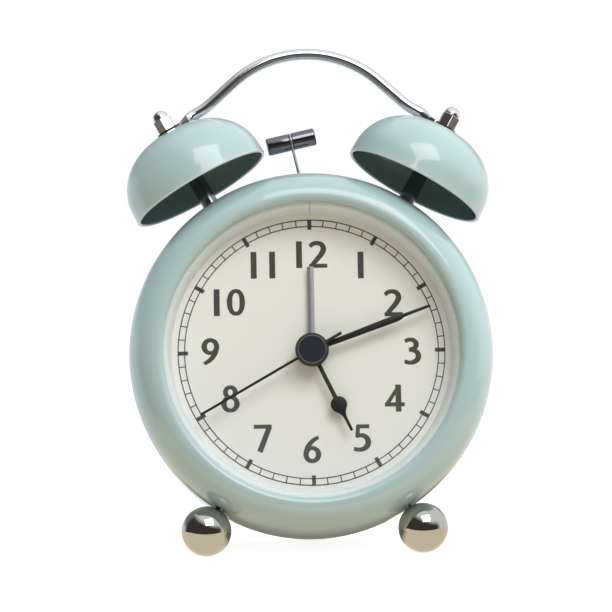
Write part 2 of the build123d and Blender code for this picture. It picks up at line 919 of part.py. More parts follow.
def tab_point(back, rise=0):
    """A point over the tab's middle line, this far back from the stud towards the arch."""
    return handle_middle + direction(bell_angle) * (tab_line + rise) - tab_out * back


arch_end = arch_point(handle_arch_half)
arch_height = (arch_end - handle_middle).dot(direction(bell_angle))
corner_run = (arch_height - tab_line - rod_rise) / sin(radians(handle_arch_half - bell_angle))
corner = arch_end + arch_out * corner_run
rod_end = tab_point(round_start, rod_rise)

with BuildPart() as handle:
    with BuildLine():
        ThreePointArc(arch_point(0), arch_point(handle_arch_half / 2), arch_end)
        Line(arch_end, corner - arch_out * bend_length)
        TangentArc(corner - arch_out * bend_length, corner + tab_out * bend_length, tangent=arch_out)
        Line(corner + tab_out * bend_length, rod_end)
    with BuildSketch(Plane(arch_point(0), clock_out, clock_right)):
        Circle(handle_rod)
    sweep()
    with BuildSketch(Plane(rod_end, clock_out, tab_out)):
        Circle(handle_rod)
    with BuildSketch(Plane(tab_point(flat_start), clock_out, tab_out)):
        Ellipse(tab_width / 2, tab_thickness / 2)
    loft()
    with BuildSketch(bell_end(1, bell_crown)):
        with Locations((-flat_start / 2, 0)):
            Rectangle(flat_start, tab_width)
        Circle(tab_width / 2)
        Circle(stud_radius, mode=Mode.SUBTRACT)
    extrude(amount=tab_thickness)
    mirror(about=Plane.YZ)
save(handle, "handle")

# Hammer: rocker on its pin, spring wire and grooved head

hammer_v = hammer_pivot_height
pin_back = 25.0
bracket_back = 27.0
with BuildPart() as striker_bracket:
    with BuildSketch(face_plane(plate_back)):
        with Locations((-8, 39.5)):
            RectangleRounded(26, 22, 2)
    extrude(amount=plate_back - backing_back)
    with BuildSketch(face_plane(bracket_back, -20, coil_height)):
        Rectangle(2, 9)
    extrude(amount=bracket_back - plate_back)
    with BuildSketch(face_plane(pin_back, 0, hammer_v)):
        Circle(pivot_pin)
    extrude(amount=pin_back - plate_back)
    with BuildSketch(face_plane(pin_back, 0, hammer_v)):
        Circle(1.8)
    extrude(amount=0.8)
save(striker_bracket, "striker_bracket")

winding_radius = 4.6
flange_radius = 5.4
flange_thickness = 0.8
core_radius = 2.2
core_left = -19.0
core_right = -5.9
with BuildPart() as striker_core:
    with BuildSketch(Plane(clock_point(core_left, coil_height, bell_depth), clock_up, clock_right)):
        Circle(core_radius)
    extrude(amount=core_right - core_left)
save(striker_core, "striker_core")

with BuildPart() as striker_coil:
    with BuildSketch(Plane(clock_point(coil_left, coil_height, bell_depth), clock_up, clock_right)):
        Circle(winding_radius)
        Circle(core_radius, mode=Mode.SUBTRACT)
    extrude(amount=coil_right - coil_left)
    for flange_u in (coil_left, coil_right - flange_thickness):
        with BuildSketch(Plane(clock_point(flange_u, coil_height, bell_depth), clock_up, clock_right)):
            Circle(flange_radius)
            Circle(core_radius, mode=Mode.SUBTRACT)
        extrude(amount=flange_thickness)
save(striker_coil, "striker_coil")

wire_foot = 1.6
socket_top = 6.0
rocker_front, rocker_back = 16.0, 23.6
with BuildPart() as hammer_rocker:
    round_bar(rocker_front, rocker_back, rocker_hub, v=hammer_v)
    with BuildSketch(spoke_plane(hammer_lean, bell_depth + 2, v=hammer_v)):
        with Locations((0, -armature_reach / 2)):
            Rectangle(2.4, armature_reach)
        with Locations((0, -armature_reach)):
            Rectangle(3, 6)
        with Locations((0, socket_top / 2)):
            Rectangle(3, socket_top)
    extrude(amount=4)
    round_bar(rocker_front, rocker_back, pivot_bore, v=hammer_v, mode=Mode.SUBTRACT)
    socket = clock_point(0, hammer_v, bell_depth) + direction(hammer_lean) * wire_foot
    with BuildSketch(Plane(socket, across(hammer_lean), direction(hammer_lean))):
        Circle(hammer_wire_radius)
    extrude(amount=socket_top, mode=Mode.SUBTRACT)
save(hammer_rocker, "hammer_rocker")

head_axis = Axis(
    clock_point(0, hammer_v, bell_depth) + direction(hammer_lean) * hammer_arm, across(hammer_lean)
)
loop_radius = hammer_groove + hammer_wire_radius
with BuildPart() as hammer_wire:
    with BuildSketch(Plane(socket, across(hammer_lean), direction(hammer_lean))):
        Circle(hammer_wire_radius)
    extrude(amount=hammer_arm - loop_radius - wire_foot)
    with BuildSketch(spoke_plane(hammer_lean, bell_depth, v=hammer_v)):
        with Locations((0, hammer_arm - loop_radius)):
            Circle(hammer_wire_radius)
    revolve(axis=head_axis)
save(hammer_wire, "hammer_wire")

half_head = hammer_length / 2
groove_half = hammer_wire_radius + 0.05
with BuildPart() as hammer_head:
    with BuildSketch(spoke_plane(hammer_lean, bell_depth, v=hammer_v)):
        with BuildLine():
            Polyline(
                (-half_head, hammer_arm),
                (-half_head, hammer_arm + hammer_radius - 0.5),
                (-half_head + 0.5, hammer_arm + hammer_radius),
                (-groove_half, hammer_arm + hammer_radius),
                (-groove_half, hammer_arm + hammer_groove),
                (groove_half, hammer_arm + hammer_groove),
                (groove_half, hammer_arm + hammer_radius),
                (half_head - 0.5, hammer_arm + hammer_radius),
                (half_head, hammer_arm + hammer_radius - 0.5),
                (half_head, hammer_arm),
                close=True,
            )
        make_face()
    revolve(axis=head_axis)
save(hammer_head, "hammer_head")
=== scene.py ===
from math import cos, pi, radians, sin, sqrt, tan

import bmesh
import bpy
from mathutils import Matrix, Vector
from mathutils.geometry import interpolate_bezier


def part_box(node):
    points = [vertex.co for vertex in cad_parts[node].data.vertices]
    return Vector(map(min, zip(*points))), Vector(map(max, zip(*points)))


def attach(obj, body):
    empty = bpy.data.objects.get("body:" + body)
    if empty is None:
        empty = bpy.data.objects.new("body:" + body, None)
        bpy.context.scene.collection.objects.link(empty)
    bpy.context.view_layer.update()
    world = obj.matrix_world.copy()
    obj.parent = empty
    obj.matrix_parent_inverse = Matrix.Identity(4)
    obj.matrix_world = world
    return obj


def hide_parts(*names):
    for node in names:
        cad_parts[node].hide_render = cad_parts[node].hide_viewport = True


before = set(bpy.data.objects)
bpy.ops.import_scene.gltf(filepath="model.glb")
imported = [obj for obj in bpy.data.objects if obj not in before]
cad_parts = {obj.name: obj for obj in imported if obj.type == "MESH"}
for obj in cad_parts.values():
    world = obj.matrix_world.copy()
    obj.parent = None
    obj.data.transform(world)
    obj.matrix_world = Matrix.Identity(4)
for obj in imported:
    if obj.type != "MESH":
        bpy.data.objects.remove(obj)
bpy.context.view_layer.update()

scene = bpy.context.scene
mm = 0.001
sides = (("Left", -1), ("Right", 1))

# the clock's own directions: right across the dial, up the dial, and out of it
stance = {"lean": radians(9.5), "lensMiddle": 2.95}
clockRight = Vector((1, 0, 0))
clockUp = Vector((0, sin(stance["lean"]), cos(stance["lean"])))
clockOut = clockRight.cross(clockUp)
lensLow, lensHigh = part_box("lens")
lipCentre = (lensLow + lensHigh) / 2 + clockOut * stance["lensMiddle"] * mm
print("frame loaded, lip centre", [round(x, 5) for x in lipCentre])


def axesAt(origin, x, y, z):
    turn = Matrix((x, y, z)).transposed().to_4x4()
    return Matrix.Translation(origin) @ turn @ Matrix.Scale(mm, 4)


def dialPlace(depth=0, angle=0):  # x across, y up, z towards the viewer, turned clockwise
    origin = lipCentre - clockOut * depth * mm
    return axesAt(origin, clockRight, clockUp, clockOut) @ Matrix.Rotation(-angle, 4, "Z")


def coverPlace(u, v, depth):  # x to the left of the dial, y up, z out of the back
    origin = lipCentre + (clockRight * u + clockUp * v - clockOut * depth) * mm
    return axesAt(origin, -clockRight, clockUp, -clockOut)


def spokePlace(angle, depth, v=0, aside=0):  # z out along a clock angle, x across it, y to the back
    along = clockRight * sin(angle) + clockUp * cos(angle)
    across = clockRight * cos(angle) - clockUp * sin(angle)
    origin = lipCentre + (clockUp * v + across * aside - clockOut * depth) * mm
    return axesAt(origin, across, -clockOut, along)


# shader helpers


class Wire:
    def __init__(self, finish, socket):
        self.finish = finish
        self.socket = socket

    def calc(self, operation, first, second):
        return self.finish.node("ShaderNodeMath", {"operation": operation}, {0: first, 1: second})

    def __add__(self, other):
        return self.calc("ADD", self, other)

    def __radd__(self, other):
        return self.calc("ADD", other, self)

    def __sub__(self, other):
        return self.calc("SUBTRACT", self, other)

    def __rsub__(self, other):
        return self.calc("SUBTRACT", other, self)

    def __mul__(self, other):
        return self.calc("MULTIPLY", self, other)

    def __rmul__(self, other):
        return self.calc("MULTIPLY", other, self)

    def __pow__(self, other):
        return self.calc("POWER", self, other)

    def __rpow__(self, other):
        return self.calc("POWER", other, self)


class Finish:
    def __init__(self, holder):  # a material or the world
        self.holder = holder
        holder.use_nodes = True
        self.tree = holder.node_tree
        self.tree.nodes.clear()

    def node(self, kind, settings={}, sockets={}, out=0):
        made = self.tree.nodes.new(kind)
        for key, value in settings.items():
            setattr(made, key, value)
        for key, value in sockets.items():
            if isinstance(value, Wire):
                self.tree.links.new(value.socket, made.inputs[key])
            else:
                made.inputs[key].default_value = value
        return Wire(self, made.outputs[out]) if made.outputs else self

    def noise(self, scale, detail=2.0, roughness=0.5, stretch=(1, 1, 1)):
        spot = self.node("ShaderNodeTexCoord", out="Object")
        spot = self.node("ShaderNodeMapping", {}, {"Vector": spot, "Scale": stretch})
        values = {"Vector": spot, "Scale": scale, "Detail": detail, "Roughness": roughness}
        return self.node("ShaderNodeTexNoise", {}, values, out="Fac")

    def axis(self, letter, coordinates="Object"):
        spot = self.node("ShaderNodeTexCoord", out=coordinates)
        return self.node("ShaderNodeSeparateXYZ", {}, {0: spot}, out=letter)

    def rise(self, value, low, high):  # 0 below low, 1 above high, eased between
        values = {"Value": value, "From Min": low, "From Max": high}
        return self.node("ShaderNodeMapRange", {"interpolation_type": "SMOOTHSTEP"}, values)

    def blend(self, amount, first, second):
        values = {"Factor": amount, 6: first, 7: second}
        return self.node("ShaderNodeMix", {"data_type": "RGBA"}, values, out=2)

    def bump(self, height, strength, distance):
        values = {"Height": height, "Strength": strength, "Distance": distance}
        return self.node("ShaderNodeBump", {}, values)

    def principled(self, sockets):
        shader = self.node("ShaderNodeBsdfPrincipled", {}, sockets)
        return self.node("ShaderNodeOutputMaterial", {}, {"Surface": shader})


def paint(red, green, blue):  # screen colour to scene colour
    shares = [c / 255 for c in (red, green, blue)]
    return (*[c / 12.92 if c <= 0.04045 else ((c + 0.055) / 1.055) ** 2.4 for c in shares], 1)


def newFinish(name):
    return Finish(bpy.data.materials.new(name))


def enamel(name, colour, deeper, roughness=0.3):
    finish = newFinish(name)
    patch = finish.noise(scale=22, detail=3)
    peel = finish.noise(scale=420)
    return finish.principled({
        "Base Color": finish.blend(patch, colour, deeper),
        "Roughness": roughness + 0.05 * finish.noise(scale=160, detail=4),
        "Specular IOR Level": 0.35,
        "Coat Weight": 0.85,
        "Coat Roughness": 0.02,
        "Coat IOR": 1.6,
        "Normal": finish.bump(peel, strength=0.03, distance=0.0002),
    })


def plated(name, colour, deeper, roughness=0.05, stretch=(1, 1, 1)):
    finish = newFinish(name)
    haze = finish.noise(scale=60, detail=4)
    scuff = finish.noise(scale=900, detail=3, roughness=0.6, stretch=stretch)
    return finish.principled({
        "Base Color": finish.blend(haze, colour, deeper),
        "Metallic": 1.0,
        "Roughness": roughness + 0.06 * haze * scuff,
        "Normal": finish.bump(haze, strength=0.02, distance=0.0001),
    })


def moulded(name, colour, deeper, roughness=0.42, grain=1800, tooth=0.12):
    finish = newFinish(name)
    cloud = finish.noise(scale=35, detail=3)
    texture = finish.noise(scale=grain, detail=3, roughness=0.6)
    return finish.principled({
        "Base Color": finish.blend(cloud, colour, deeper),
        "Roughness": roughness + 0.1 * texture,
        "Normal": finish.bump(texture, strength=tooth, distance=0.0001),
    })


def printed(name, colour, paintedLitInk, low, high):  # ink with painted light: paler towards the foot of the dial, where more light falls
    finish = newFinish(name)
    grain = finish.noise(scale=2500, detail=3, roughness=0.6)
    paintedLightLevel = finish.rise(finish.axis("Z") + 0.004 * grain, low, high)
    return finish.principled({
        "Base Color": finish.blend(paintedLightLevel, paintedLitInk, colour),
        "Roughness": 0.5 + 0.1 * grain,
        "Normal": finish.bump(grain, strength=0.1, distance=0.0001),
    })


def clearLens(name):
    finish = newFinish(name)
    facing = finish.node("ShaderNodeLayerWeight", out="Facing")
    smear = finish.noise(scale=30, detail=3)
    clear = finish.node("ShaderNodeBsdfTransparent", {}, {"Color": (0.985, 0.99, 0.988, 1)})
    shine = finish.node("ShaderNodeBsdfPrincipled", {}, {
        "Base Color": (0.9, 0.92, 0.92, 1), "Metallic": 1.0, "Roughness": 0.03 + 0.03 * smear,
    })
    pane = finish.node("ShaderNodeMixShader", {}, {0: 0.04 + 0.7 * facing ** 5, 1: clear, 2: shine})
    return finish.node("ShaderNodeOutputMaterial", {}, {"Surface": pane})


mintPaint = enamel("mintPaint", paint(165, 188, 189), paint(161, 184, 185))
# darker copy of the mint for the inside of the bells: painted shade
bellInsidePaintedShade = enamel("bellInsidePaintedShade", paint(116, 142, 142), paint(108, 134, 134), 0.35)
brightChrome = plated("brightChrome", (0.78, 0.78, 0.79, 1), (0.72, 0.72, 0.73, 1))
rodChrome = plated("rodChrome", (0.72, 0.73, 0.76, 1), (0.66, 0.67, 0.7, 1))
# lighter copy of the mint for the bells' rounded rims: a painted highlight
rimEdgeHighlight = enamel("rimEdgeHighlight", paint(200, 213, 215), paint(194, 207, 209))
warmNickel = plated("warmNickel", (0.52, 0.51, 0.48, 1), (0.48, 0.47, 0.44, 1), 0.03)
darkChrome = plated("darkChrome", (0.22, 0.21, 0.23, 1), (0.18, 0.17, 0.19, 1), 0.08)
# chrome with a much darker base for the bell posts: painted shade under the bells
postChromePaintedShade = plated("postChromePaintedShade", (0.3, 0.3, 0.31, 1), (0.26, 0.26, 0.27, 1), 0.1)
plainSteel = plated("plainSteel", (0.56, 0.56, 0.57, 1), (0.48, 0.48, 0.5, 1), 0.28, (1, 1, 8))
turnedBrass = plated("turnedBrass", (0.42, 0.34, 0.2, 1), (0.36, 0.29, 0.16, 1), 0.3)
# dark steel painted on as shade: the left tab's edges and the foot studs
paintedShadeSteel = plated("paintedShadeSteel", (0.16, 0.15, 0.16, 1), (0.12, 0.11, 0.12, 1), 0.22)
silverHand = plated("silverHand", (0.74, 0.73, 0.73, 1), (0.68, 0.67, 0.67, 1), 0.45)
dialCard = moulded("dialCard", paint(236, 236, 230), paint(233, 233, 227), 0.6, 1400, 0.02)
spacerCream = moulded("spacerCream", paint(228, 234, 238), paint(224, 230, 234), 0.4, 1800, 0.04)
seamGrey = moulded("seamGrey", paint(168, 170, 166), paint(160, 162, 158), 0.5)
# dial print with painted light: the ink is paler towards the foot of the dial
dialInk = printed("dialInk", paint(64, 64, 62), paint(84, 83, 80), 0.025, 0.08)
blackLacquer = moulded("blackLacquer", paint(25, 26, 28), paint(21, 22, 24), 0.35, 2500, 0.03)
capBlack = moulded("capBlack", paint(42, 46, 55), paint(38, 42, 50), 0.16, 2200, 0.02)
# lighter grey for the cap's ridge: a painted highlight
capRidgeHighlight = moulded("capRidgeHighlight", paint(104, 108, 114), paint(92, 96, 102), 0.2, 2200, 0.02)
backPlastic = moulded("backPlastic", paint(222, 221, 213), paint(216, 215, 207), 0.45, 1500)
greyPlastic = moulded("greyPlastic", paint(120, 123, 124), paint(110, 113, 114), 0.45, 1500)
blackPlastic = moulded("blackPlastic", paint(34, 35, 37), paint(28, 29, 30), 0.4, 1500)
gearPlastic = moulded("gearPlastic", paint(236, 234, 224), paint(228, 226, 215), 0.4)
copperWire = moulded("copperWire", paint(168, 88, 48), paint(138, 68, 36), 0.35, 3000)
boardGreen = moulded("boardGreen", paint(40, 102, 62), paint(34, 90, 54), 0.45, 1500)
cellSleeve = moulded("cellSleeve", paint(58, 62, 68), paint(50, 54, 60), 0.3, 1500)
lensClear = clearLens("lensClear")
print("finishes made")


# mesh helpers


def arc(centre, radius, start, end, count):
    wide, tall = radius if isinstance(radius, tuple) else (radius, radius)
    turns = [radians(start + (end - start) * i / count) for i in range(count + 1)]
    return [(centre[0] + wide * cos(a), centre[1] + tall * sin(a)) for a in turns]


def turn(bm, profile, steps, closed=True, place=Matrix()):
    verts = [bm.verts.new(place @ Vector((r, 0, z))) for r, z in profile]
    pairs = list(zip(verts, verts[1:] + verts[:1])) if closed else list(zip(verts, verts[1:]))
    edges = [bm.edges.new(pair) for pair in pairs]
    axis = place.to_3x3() @ Vector((0, 0, 1))
    bmesh.ops.spin(
        bm, geom=verts + edges, cent=place.translation, axis=axis, dvec=(0, 0, 0), angle=2 * pi,
        steps=steps, use_merge=True,
    )
    bmesh.ops.remove_doubles(bm, verts=bm.verts, dist=1e-4)
    bmesh.ops.recalc_face_normals(bm, faces=bm.faces)


def vertsOf(geom):
    return [v for v in geom if isinstance(v, bmesh.types.BMVert)]


def edgesAmong(bm, verts):
    return [e for e in bm.edges if all(v in verts for v in e.verts)]


def soften(bm, edges, offset, segments=2, material=-1):
    bmesh.ops.bevel(
        bm, geom=edges, offset=offset, segments=segments, profile=0.5, affect="EDGES", material=material,
    )


def block(x, y, wide, tall):
    return [(x - wide, y - tall), (x + wide, y - tall), (x + wide, y + tall), (x - wide, y + tall)]


def plate(bm, outline, low, high):  # a flat outline given thickness; its upper rim comes back for bevels
    flat = bm.faces.new([bm.verts.new((x, y, low)) for x, y in outline])
    lifted = vertsOf(bmesh.ops.extrude_face_region(bm, geom=[flat], use_keep_orig=True)["geom"])
    bmesh.ops.translate(bm, vec=(0, 0, high - low), verts=lifted)
    bmesh.ops.recalc_face_normals(bm, faces=bm.faces)
    return edgesAmong(bm, lifted)


def copies(bm, places):
    part = bpy.data.meshes.new("part")
    bm.to_mesh(part)
    bm.free()
    whole = bmesh.new()
    for place in places:
        old = set(whole.verts)
        whole.from_mesh(part)
        bmesh.ops.transform(whole, matrix=place, verts=[v for v in whole.verts if v not in old])
    bpy.data.meshes.remove(part)
    return whole


def settle(name, bm, place, finishes, body, nodes=(), crease=32):
    bmesh.ops.transform(bm, matrix=place, verts=bm.verts)
    mesh = bpy.data.meshes.new(name)
    bm.to_mesh(mesh)
    bm.free()
    piece = bpy.data.objects.new(name, mesh)
    scene.collection.objects.link(piece)
    mesh.shade_smooth()
    mesh.set_sharp_from_angle(angle=radians(crease))
    for finish in finishes if isinstance(finishes, list) else [finishes]:
        mesh.materials.append(finish.holder)
    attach(piece, body)
    if nodes:
        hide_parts(*nodes)


# case: drawn steel drum with a rolled lip and a slot for the hammer wire

case = {
    "radius": 58.0, "depth": 48.0, "wall": 0.9, "shoulder": 17.0, "lip": 2.0, "opening": 46.5,
    "backRoll": 1.5, "backOpening": 55.2, "seatDepth": 2.2, "flank": (7.5, 3), "steps": 192,
    "slot": (10.0, 2.6, 21.0), "slotPatch": (12, 50),
}


def makeCase():
    crest = case["opening"] + case["lip"]
    rollMiddle = (case["radius"] - case["backRoll"], case["backRoll"] - case["depth"])
    skin = [(case["opening"], -case["seatDepth"])]
    skin += arc((crest, -case["lip"]), case["lip"], 180, 90, 10)
    shoulder = (case["radius"] - crest, case["shoulder"])
    skin += arc((crest, -case["shoulder"]), shoulder, 90, 0, 36)[1:]
    pitch, rows = case["flank"]
    skin += [(case["radius"], -case["shoulder"] - pitch * i) for i in range(1, rows + 1)]
    skin += arc(rollMiddle, case["backRoll"], 0, -90, 8)
    skin += [(case["backOpening"], -case["depth"])]
    bm = bmesh.new()
    turn(bm, skin, case["steps"], closed=False)
    width, height, depth = case["slot"]
    cuts = [((width / 2, 0, 0), (1, 0, 0)), ((-width / 2, 0, 0), (1, 0, 0))]
    cuts += [((0, 0, -depth - height / 2), (0, 0, 1)), ((0, 0, -depth + height / 2), (0, 0, 1))]
    aside, above = case["slotPatch"]
    for spot, normal in cuts:
        spots = [(f, f.calc_center_median()) for f in bm.faces]
        near = [f for f, middle in spots if middle.y > above and abs(middle.x) < aside]
        near = near + list({e for f in near for e in f.edges}) + list({v for f in near for v in f.verts})
        bmesh.ops.bisect_plane(bm, geom=near, plane_co=spot, plane_no=normal)
    hole = []
    for f in bm.faces:
        x, y, z = f.calc_center_median()
        if abs(x) < width / 2 and y > above and abs(z + depth) < height / 2:
            hole.append(f)
    bmesh.ops.delete(bm, geom=hole, context="FACES")
    bmesh.ops.recalc_face_normals(bm, faces=bm.faces)
    bmesh.ops.solidify(bm, geom=bm.faces[:], thickness=case["wall"])
    settle("caseDrum", bm, dialPlace(), mintPaint, "clock", ["case_shell"], 50)


makeCase()
print("case made")


# lens, spacer ring and dial card

# radii from the outside in, then the depths of front and back, then the edge
window = {
    "lens": (47.2, 2.2, 3.7, 0.25), "ring": (50.5, 46.3, 44.4, 3.7, 11.5), "ringEdge": (0.3, 0.2),
    "dial": (50.0, 4.0, 11.5, 12.1), "nut": (5.0, 4.0, 10.5, 11.5, 0.3), "seam": 0.1,
}


def makeWindow():
    radius, front, back, edge = window["lens"]
    bm = bmesh.new()
    turn(bm, [(0, -front), (radius - edge, -front), (radius, -front - edge),
              (radius, -back + edge), (radius - edge, -back), (0, -back)], 128, closed=False)
    settle("lens", bm, dialPlace(), lensClear, "clock", ["lens"])
    outer, innerFront, innerBack, front, back = window["ring"]
    lead, drop = window["ringEdge"]
    bm = bmesh.new()
    cove = arc((innerFront, -back), (innerFront - innerBack, back - front - drop), 180, 90, 14)
    turn(bm, [(innerFront + lead, -front), (outer, -front), (outer, -back)] + cove, 160)
    for x in (-window["seam"], window["seam"]):  # the strip's butt joint at twelve
        everything = bm.verts[:] + bm.edges[:] + bm.faces[:]
        bmesh.ops.bisect_plane(bm, geom=everything, plane_co=(x, 0, 0), plane_no=(1, 0, 0))
    for f in bm.faces:
        middle = f.calc_center_median()
        f.material_index = int(abs(middle.x) < window["seam"] and middle.y > 0)
    settle("spacerRing", bm, dialPlace(), [spacerCream, seamGrey], "clock", ["lens_ring"])
    radius, hole, front, back = window["dial"]
    bm = bmesh.new()
    turn(bm, [(hole, -front), (radius, -front), (radius, -back), (hole, -back)], 128)
    settle("dialCard", bm, dialPlace(), dialCard, "clock", ["dial"])
    radius, hole, front, back, edge = window["nut"]
    bm = bmesh.new()
    turn(bm, [(hole, -front), (radius - edge, -front), (radius, -front - edge), (radius, -back),
              (hole, -back)], 48)
    settle("dialNut", bm, dialPlace(), turnedBrass, "clock", ["dial_nut"])


makeWindow()
print("window made")


# dial print: double minute track, hour bars and numerals

dialPrint = {
    "face": 11.5, "ink": 0.05, "outer": 42.4, "inner": 40.0, "line": 0.34, "tick": 0.34,
    "bar": (1.25, 3.3), "numeralHeight": 8.6, "numeralInk": 0.15,
    "numeralSpots": [
        (16.1, 27.5), (26.2, 15.2), (31.9, -0.3), (26.0, -15.2), (15.4, -27.6), (-0.4, -31.0),
        (-15.8, -27.2), (-25.9, -14.6), (-32.0, 0.5), (-25.8, 16.1), (-15.0, 27.9), (0.6, 31.1),
    ],
    "bearing": {"1": 0.233, "2": 0.01, "0": 0.025}, "penSteps": 6,
}


def inkBlock(bm, x, y, wide, tall):
    made = bmesh.ops.create_cube(bm, size=1)["verts"]
    bmesh.ops.scale(bm, vec=(wide, tall, dialPrint["ink"]), verts=made)
    bmesh.ops.translate(bm, vec=(x, y, dialPrint["ink"] / 2), verts=made)
    return made


def makeTrack():
    bm = bmesh.new()
    ink, line, outer, inner = [dialPrint[key] for key in ("ink", "line", "outer", "inner")]
    for radius in (outer - line, inner):
        turn(bm, [(radius, 0), (radius + line, 0), (radius + line, ink), (radius, ink)], 180)
    for minute in range(60):
        if minute % 5:
            made = inkBlock(bm, 0, (outer + inner) / 2, dialPrint["tick"], outer - inner)
        else:
            wide, tall = dialPrint["bar"]
            made = inkBlock(bm, 0, outer - tall / 2, wide, tall)
        bmesh.ops.rotate(bm, cent=(0, 0, 0), matrix=Matrix.Rotation(-minute * pi / 30, 3, "Z"), verts=made)
    settle("minuteTrack", bm, dialPlace(depth=dialPrint["face"]), dialInk, "clock")


# each numeral is a few pen strokes: (x, y, pen width) on a body one high, straight or round
numerals = {
    "0": (0.68, [
        ("ring", [(0.34, 0.925, 0.15), (0.575, 0.5, 0.21), (0.34, 0.075, 0.15), (0.105, 0.5, 0.21)])]),
    "1": (0.22, [("line", [(0.11, 0.0, 0.22), (0.11, 1.0, 0.22)])]),
    "2": (0.70, [
        ("curve", [(0.05, 0.80, 0.15), (0.17, 0.90, 0.16), (0.34, 0.925, 0.16), (0.50, 0.85, 0.19),
                   (0.55, 0.70, 0.21), (0.48, 0.53, 0.20), (0.33, 0.34, 0.18), (0.10, 0.08, 0.16)]),
        ("line", [(0.02, 0.075, 0.15), (0.69, 0.075, 0.15)])]),
    "3": (0.64, [
        ("curve", [(0.05, 0.87, 0.15), (0.23, 0.925, 0.15), (0.41, 0.87, 0.17), (0.465, 0.74, 0.20),
                   (0.40, 0.61, 0.17), (0.20, 0.55, 0.14)]),
        ("curve", [(0.20, 0.55, 0.14), (0.41, 0.51, 0.16), (0.525, 0.39, 0.20), (0.52, 0.23, 0.21),
                   (0.40, 0.11, 0.18), (0.22, 0.07, 0.15), (0.02, 0.12, 0.15)])]),
    "4": (0.74, [
        ("line", [(0.07, 0.27, 0.14), (0.53, 0.95, 0.14)]),
        ("line", [(0.50, 0.0, 0.21), (0.50, 1.0, 0.21)]),
        ("line", [(0.0, 0.27, 0.15), (0.73, 0.27, 0.15)])]),
    "5": (0.66, [
        ("line", [(0.13, 0.925, 0.15), (0.60, 0.925, 0.15)]),
        ("line", [(0.19, 0.95, 0.15), (0.155, 0.52, 0.15)]),
        ("curve", [(0.12, 0.555, 0.14), (0.27, 0.60, 0.15), (0.45, 0.545, 0.18), (0.545, 0.40, 0.21),
                   (0.52, 0.23, 0.21), (0.39, 0.11, 0.18), (0.21, 0.07, 0.15), (0.02, 0.11, 0.15)])]),
    "6": (0.68, [
        ("curve", [(0.58, 0.95, 0.13), (0.38, 0.83, 0.16), (0.20, 0.62, 0.19), (0.11, 0.36, 0.20)]),
        ("ring", [(0.34, 0.555, 0.14), (0.57, 0.32, 0.21), (0.34, 0.075, 0.15), (0.11, 0.32, 0.20)])]),
    "7": (0.69, [
        ("line", [(0.01, 0.925, 0.15), (0.66, 0.925, 0.15)]),
        ("line", [(0.60, 0.95, 0.19), (0.22, 0.0, 0.21)])]),
    "8": (0.70, [
        ("ring", [(0.35, 0.93, 0.14), (0.53, 0.75, 0.19), (0.35, 0.56, 0.13), (0.17, 0.75, 0.19)]),
        ("ring", [(0.35, 0.56, 0.13), (0.59, 0.31, 0.21), (0.35, 0.07, 0.14), (0.11, 0.31, 0.21)])]),
}
sixWide, sixPens = numerals["6"]
numerals["9"] = (sixWide, [(kind, [(sixWide - x, 1 - y, w) for x, y, w in pen]) for kind, pen in sixPens])


def penMesh(digit):
    curve = bpy.data.curves.new("pen", "CURVE")
    curve.dimensions = "3D"
    curve.twist_mode = "Z_UP"
    curve.bevel_depth = 0.5
    curve.bevel_resolution = 1
    curve.resolution_u = dialPrint["penSteps"]
    curve.use_fill_caps = True
    for kind, pen in numerals[digit][1]:
        spline = curve.splines.new("BEZIER")
        spline.bezier_points.add(len(pen) - 1)
        spline.use_cyclic_u = kind == "ring"
        for point, (x, y, width) in zip(spline.bezier_points, pen):
            point.co = (x, y, 0)
            point.radius = width
            point.handle_left_type = point.handle_right_type = "VECTOR" if kind == "line" else "AUTO"
    holder = bpy.data.objects.new("pen", curve)
    scene.collection.objects.link(holder)
    bpy.context.view_layer.update()
    mesh = bpy.data.meshes.new_from_object(holder.evaluated_get(bpy.context.evaluated_depsgraph_get()))
    bpy.data.objects.remove(holder)
    bpy.data.curves.remove(curve)
    return mesh


def makeNumerals():
    bm = bmesh.new()
    high = dialPrint["numeralHeight"]
    pens = {digit: penMesh(digit) for digit in numerals}
    for hour, (u, v) in enumerate(dialPrint["numeralSpots"], 1):
        word = str(hour)
        gaps = [dialPrint["bearing"].get(digit, 0) if len(word) > 1 else 0 for digit in word]
        x = -(sum(numerals[digit][0] for digit in word) + sum(gaps)) / 2
        for i, digit in enumerate(word):
            x += gaps[i] if i else 0
            old = set(bm.verts)
            bm.from_mesh(pens[digit])
            new = [vert for vert in bm.verts if vert not in old]
            bmesh.ops.translate(bm, vec=(x, -0.5, 0), verts=new)
            bmesh.ops.scale(bm, vec=(high, high, dialPrint["numeralInk"]), verts=new)
            bmesh.ops.translate(bm, vec=(u, v, 0), verts=new)
            x += numerals[digit][0] + (0 if i else gaps[0])
    bmesh.ops.recalc_face_normals(bm, faces=bm.faces)
    place = dialPlace(depth=dialPrint["face"])
    settle("numerals", bm, place, dialInk, "clock", crease=30)
    for mesh in pens.values():
        bpy.data.meshes.remove(mesh)


makeTrack()
makeNumerals()
print("dial print made")


# hands, stacked behind the black cap

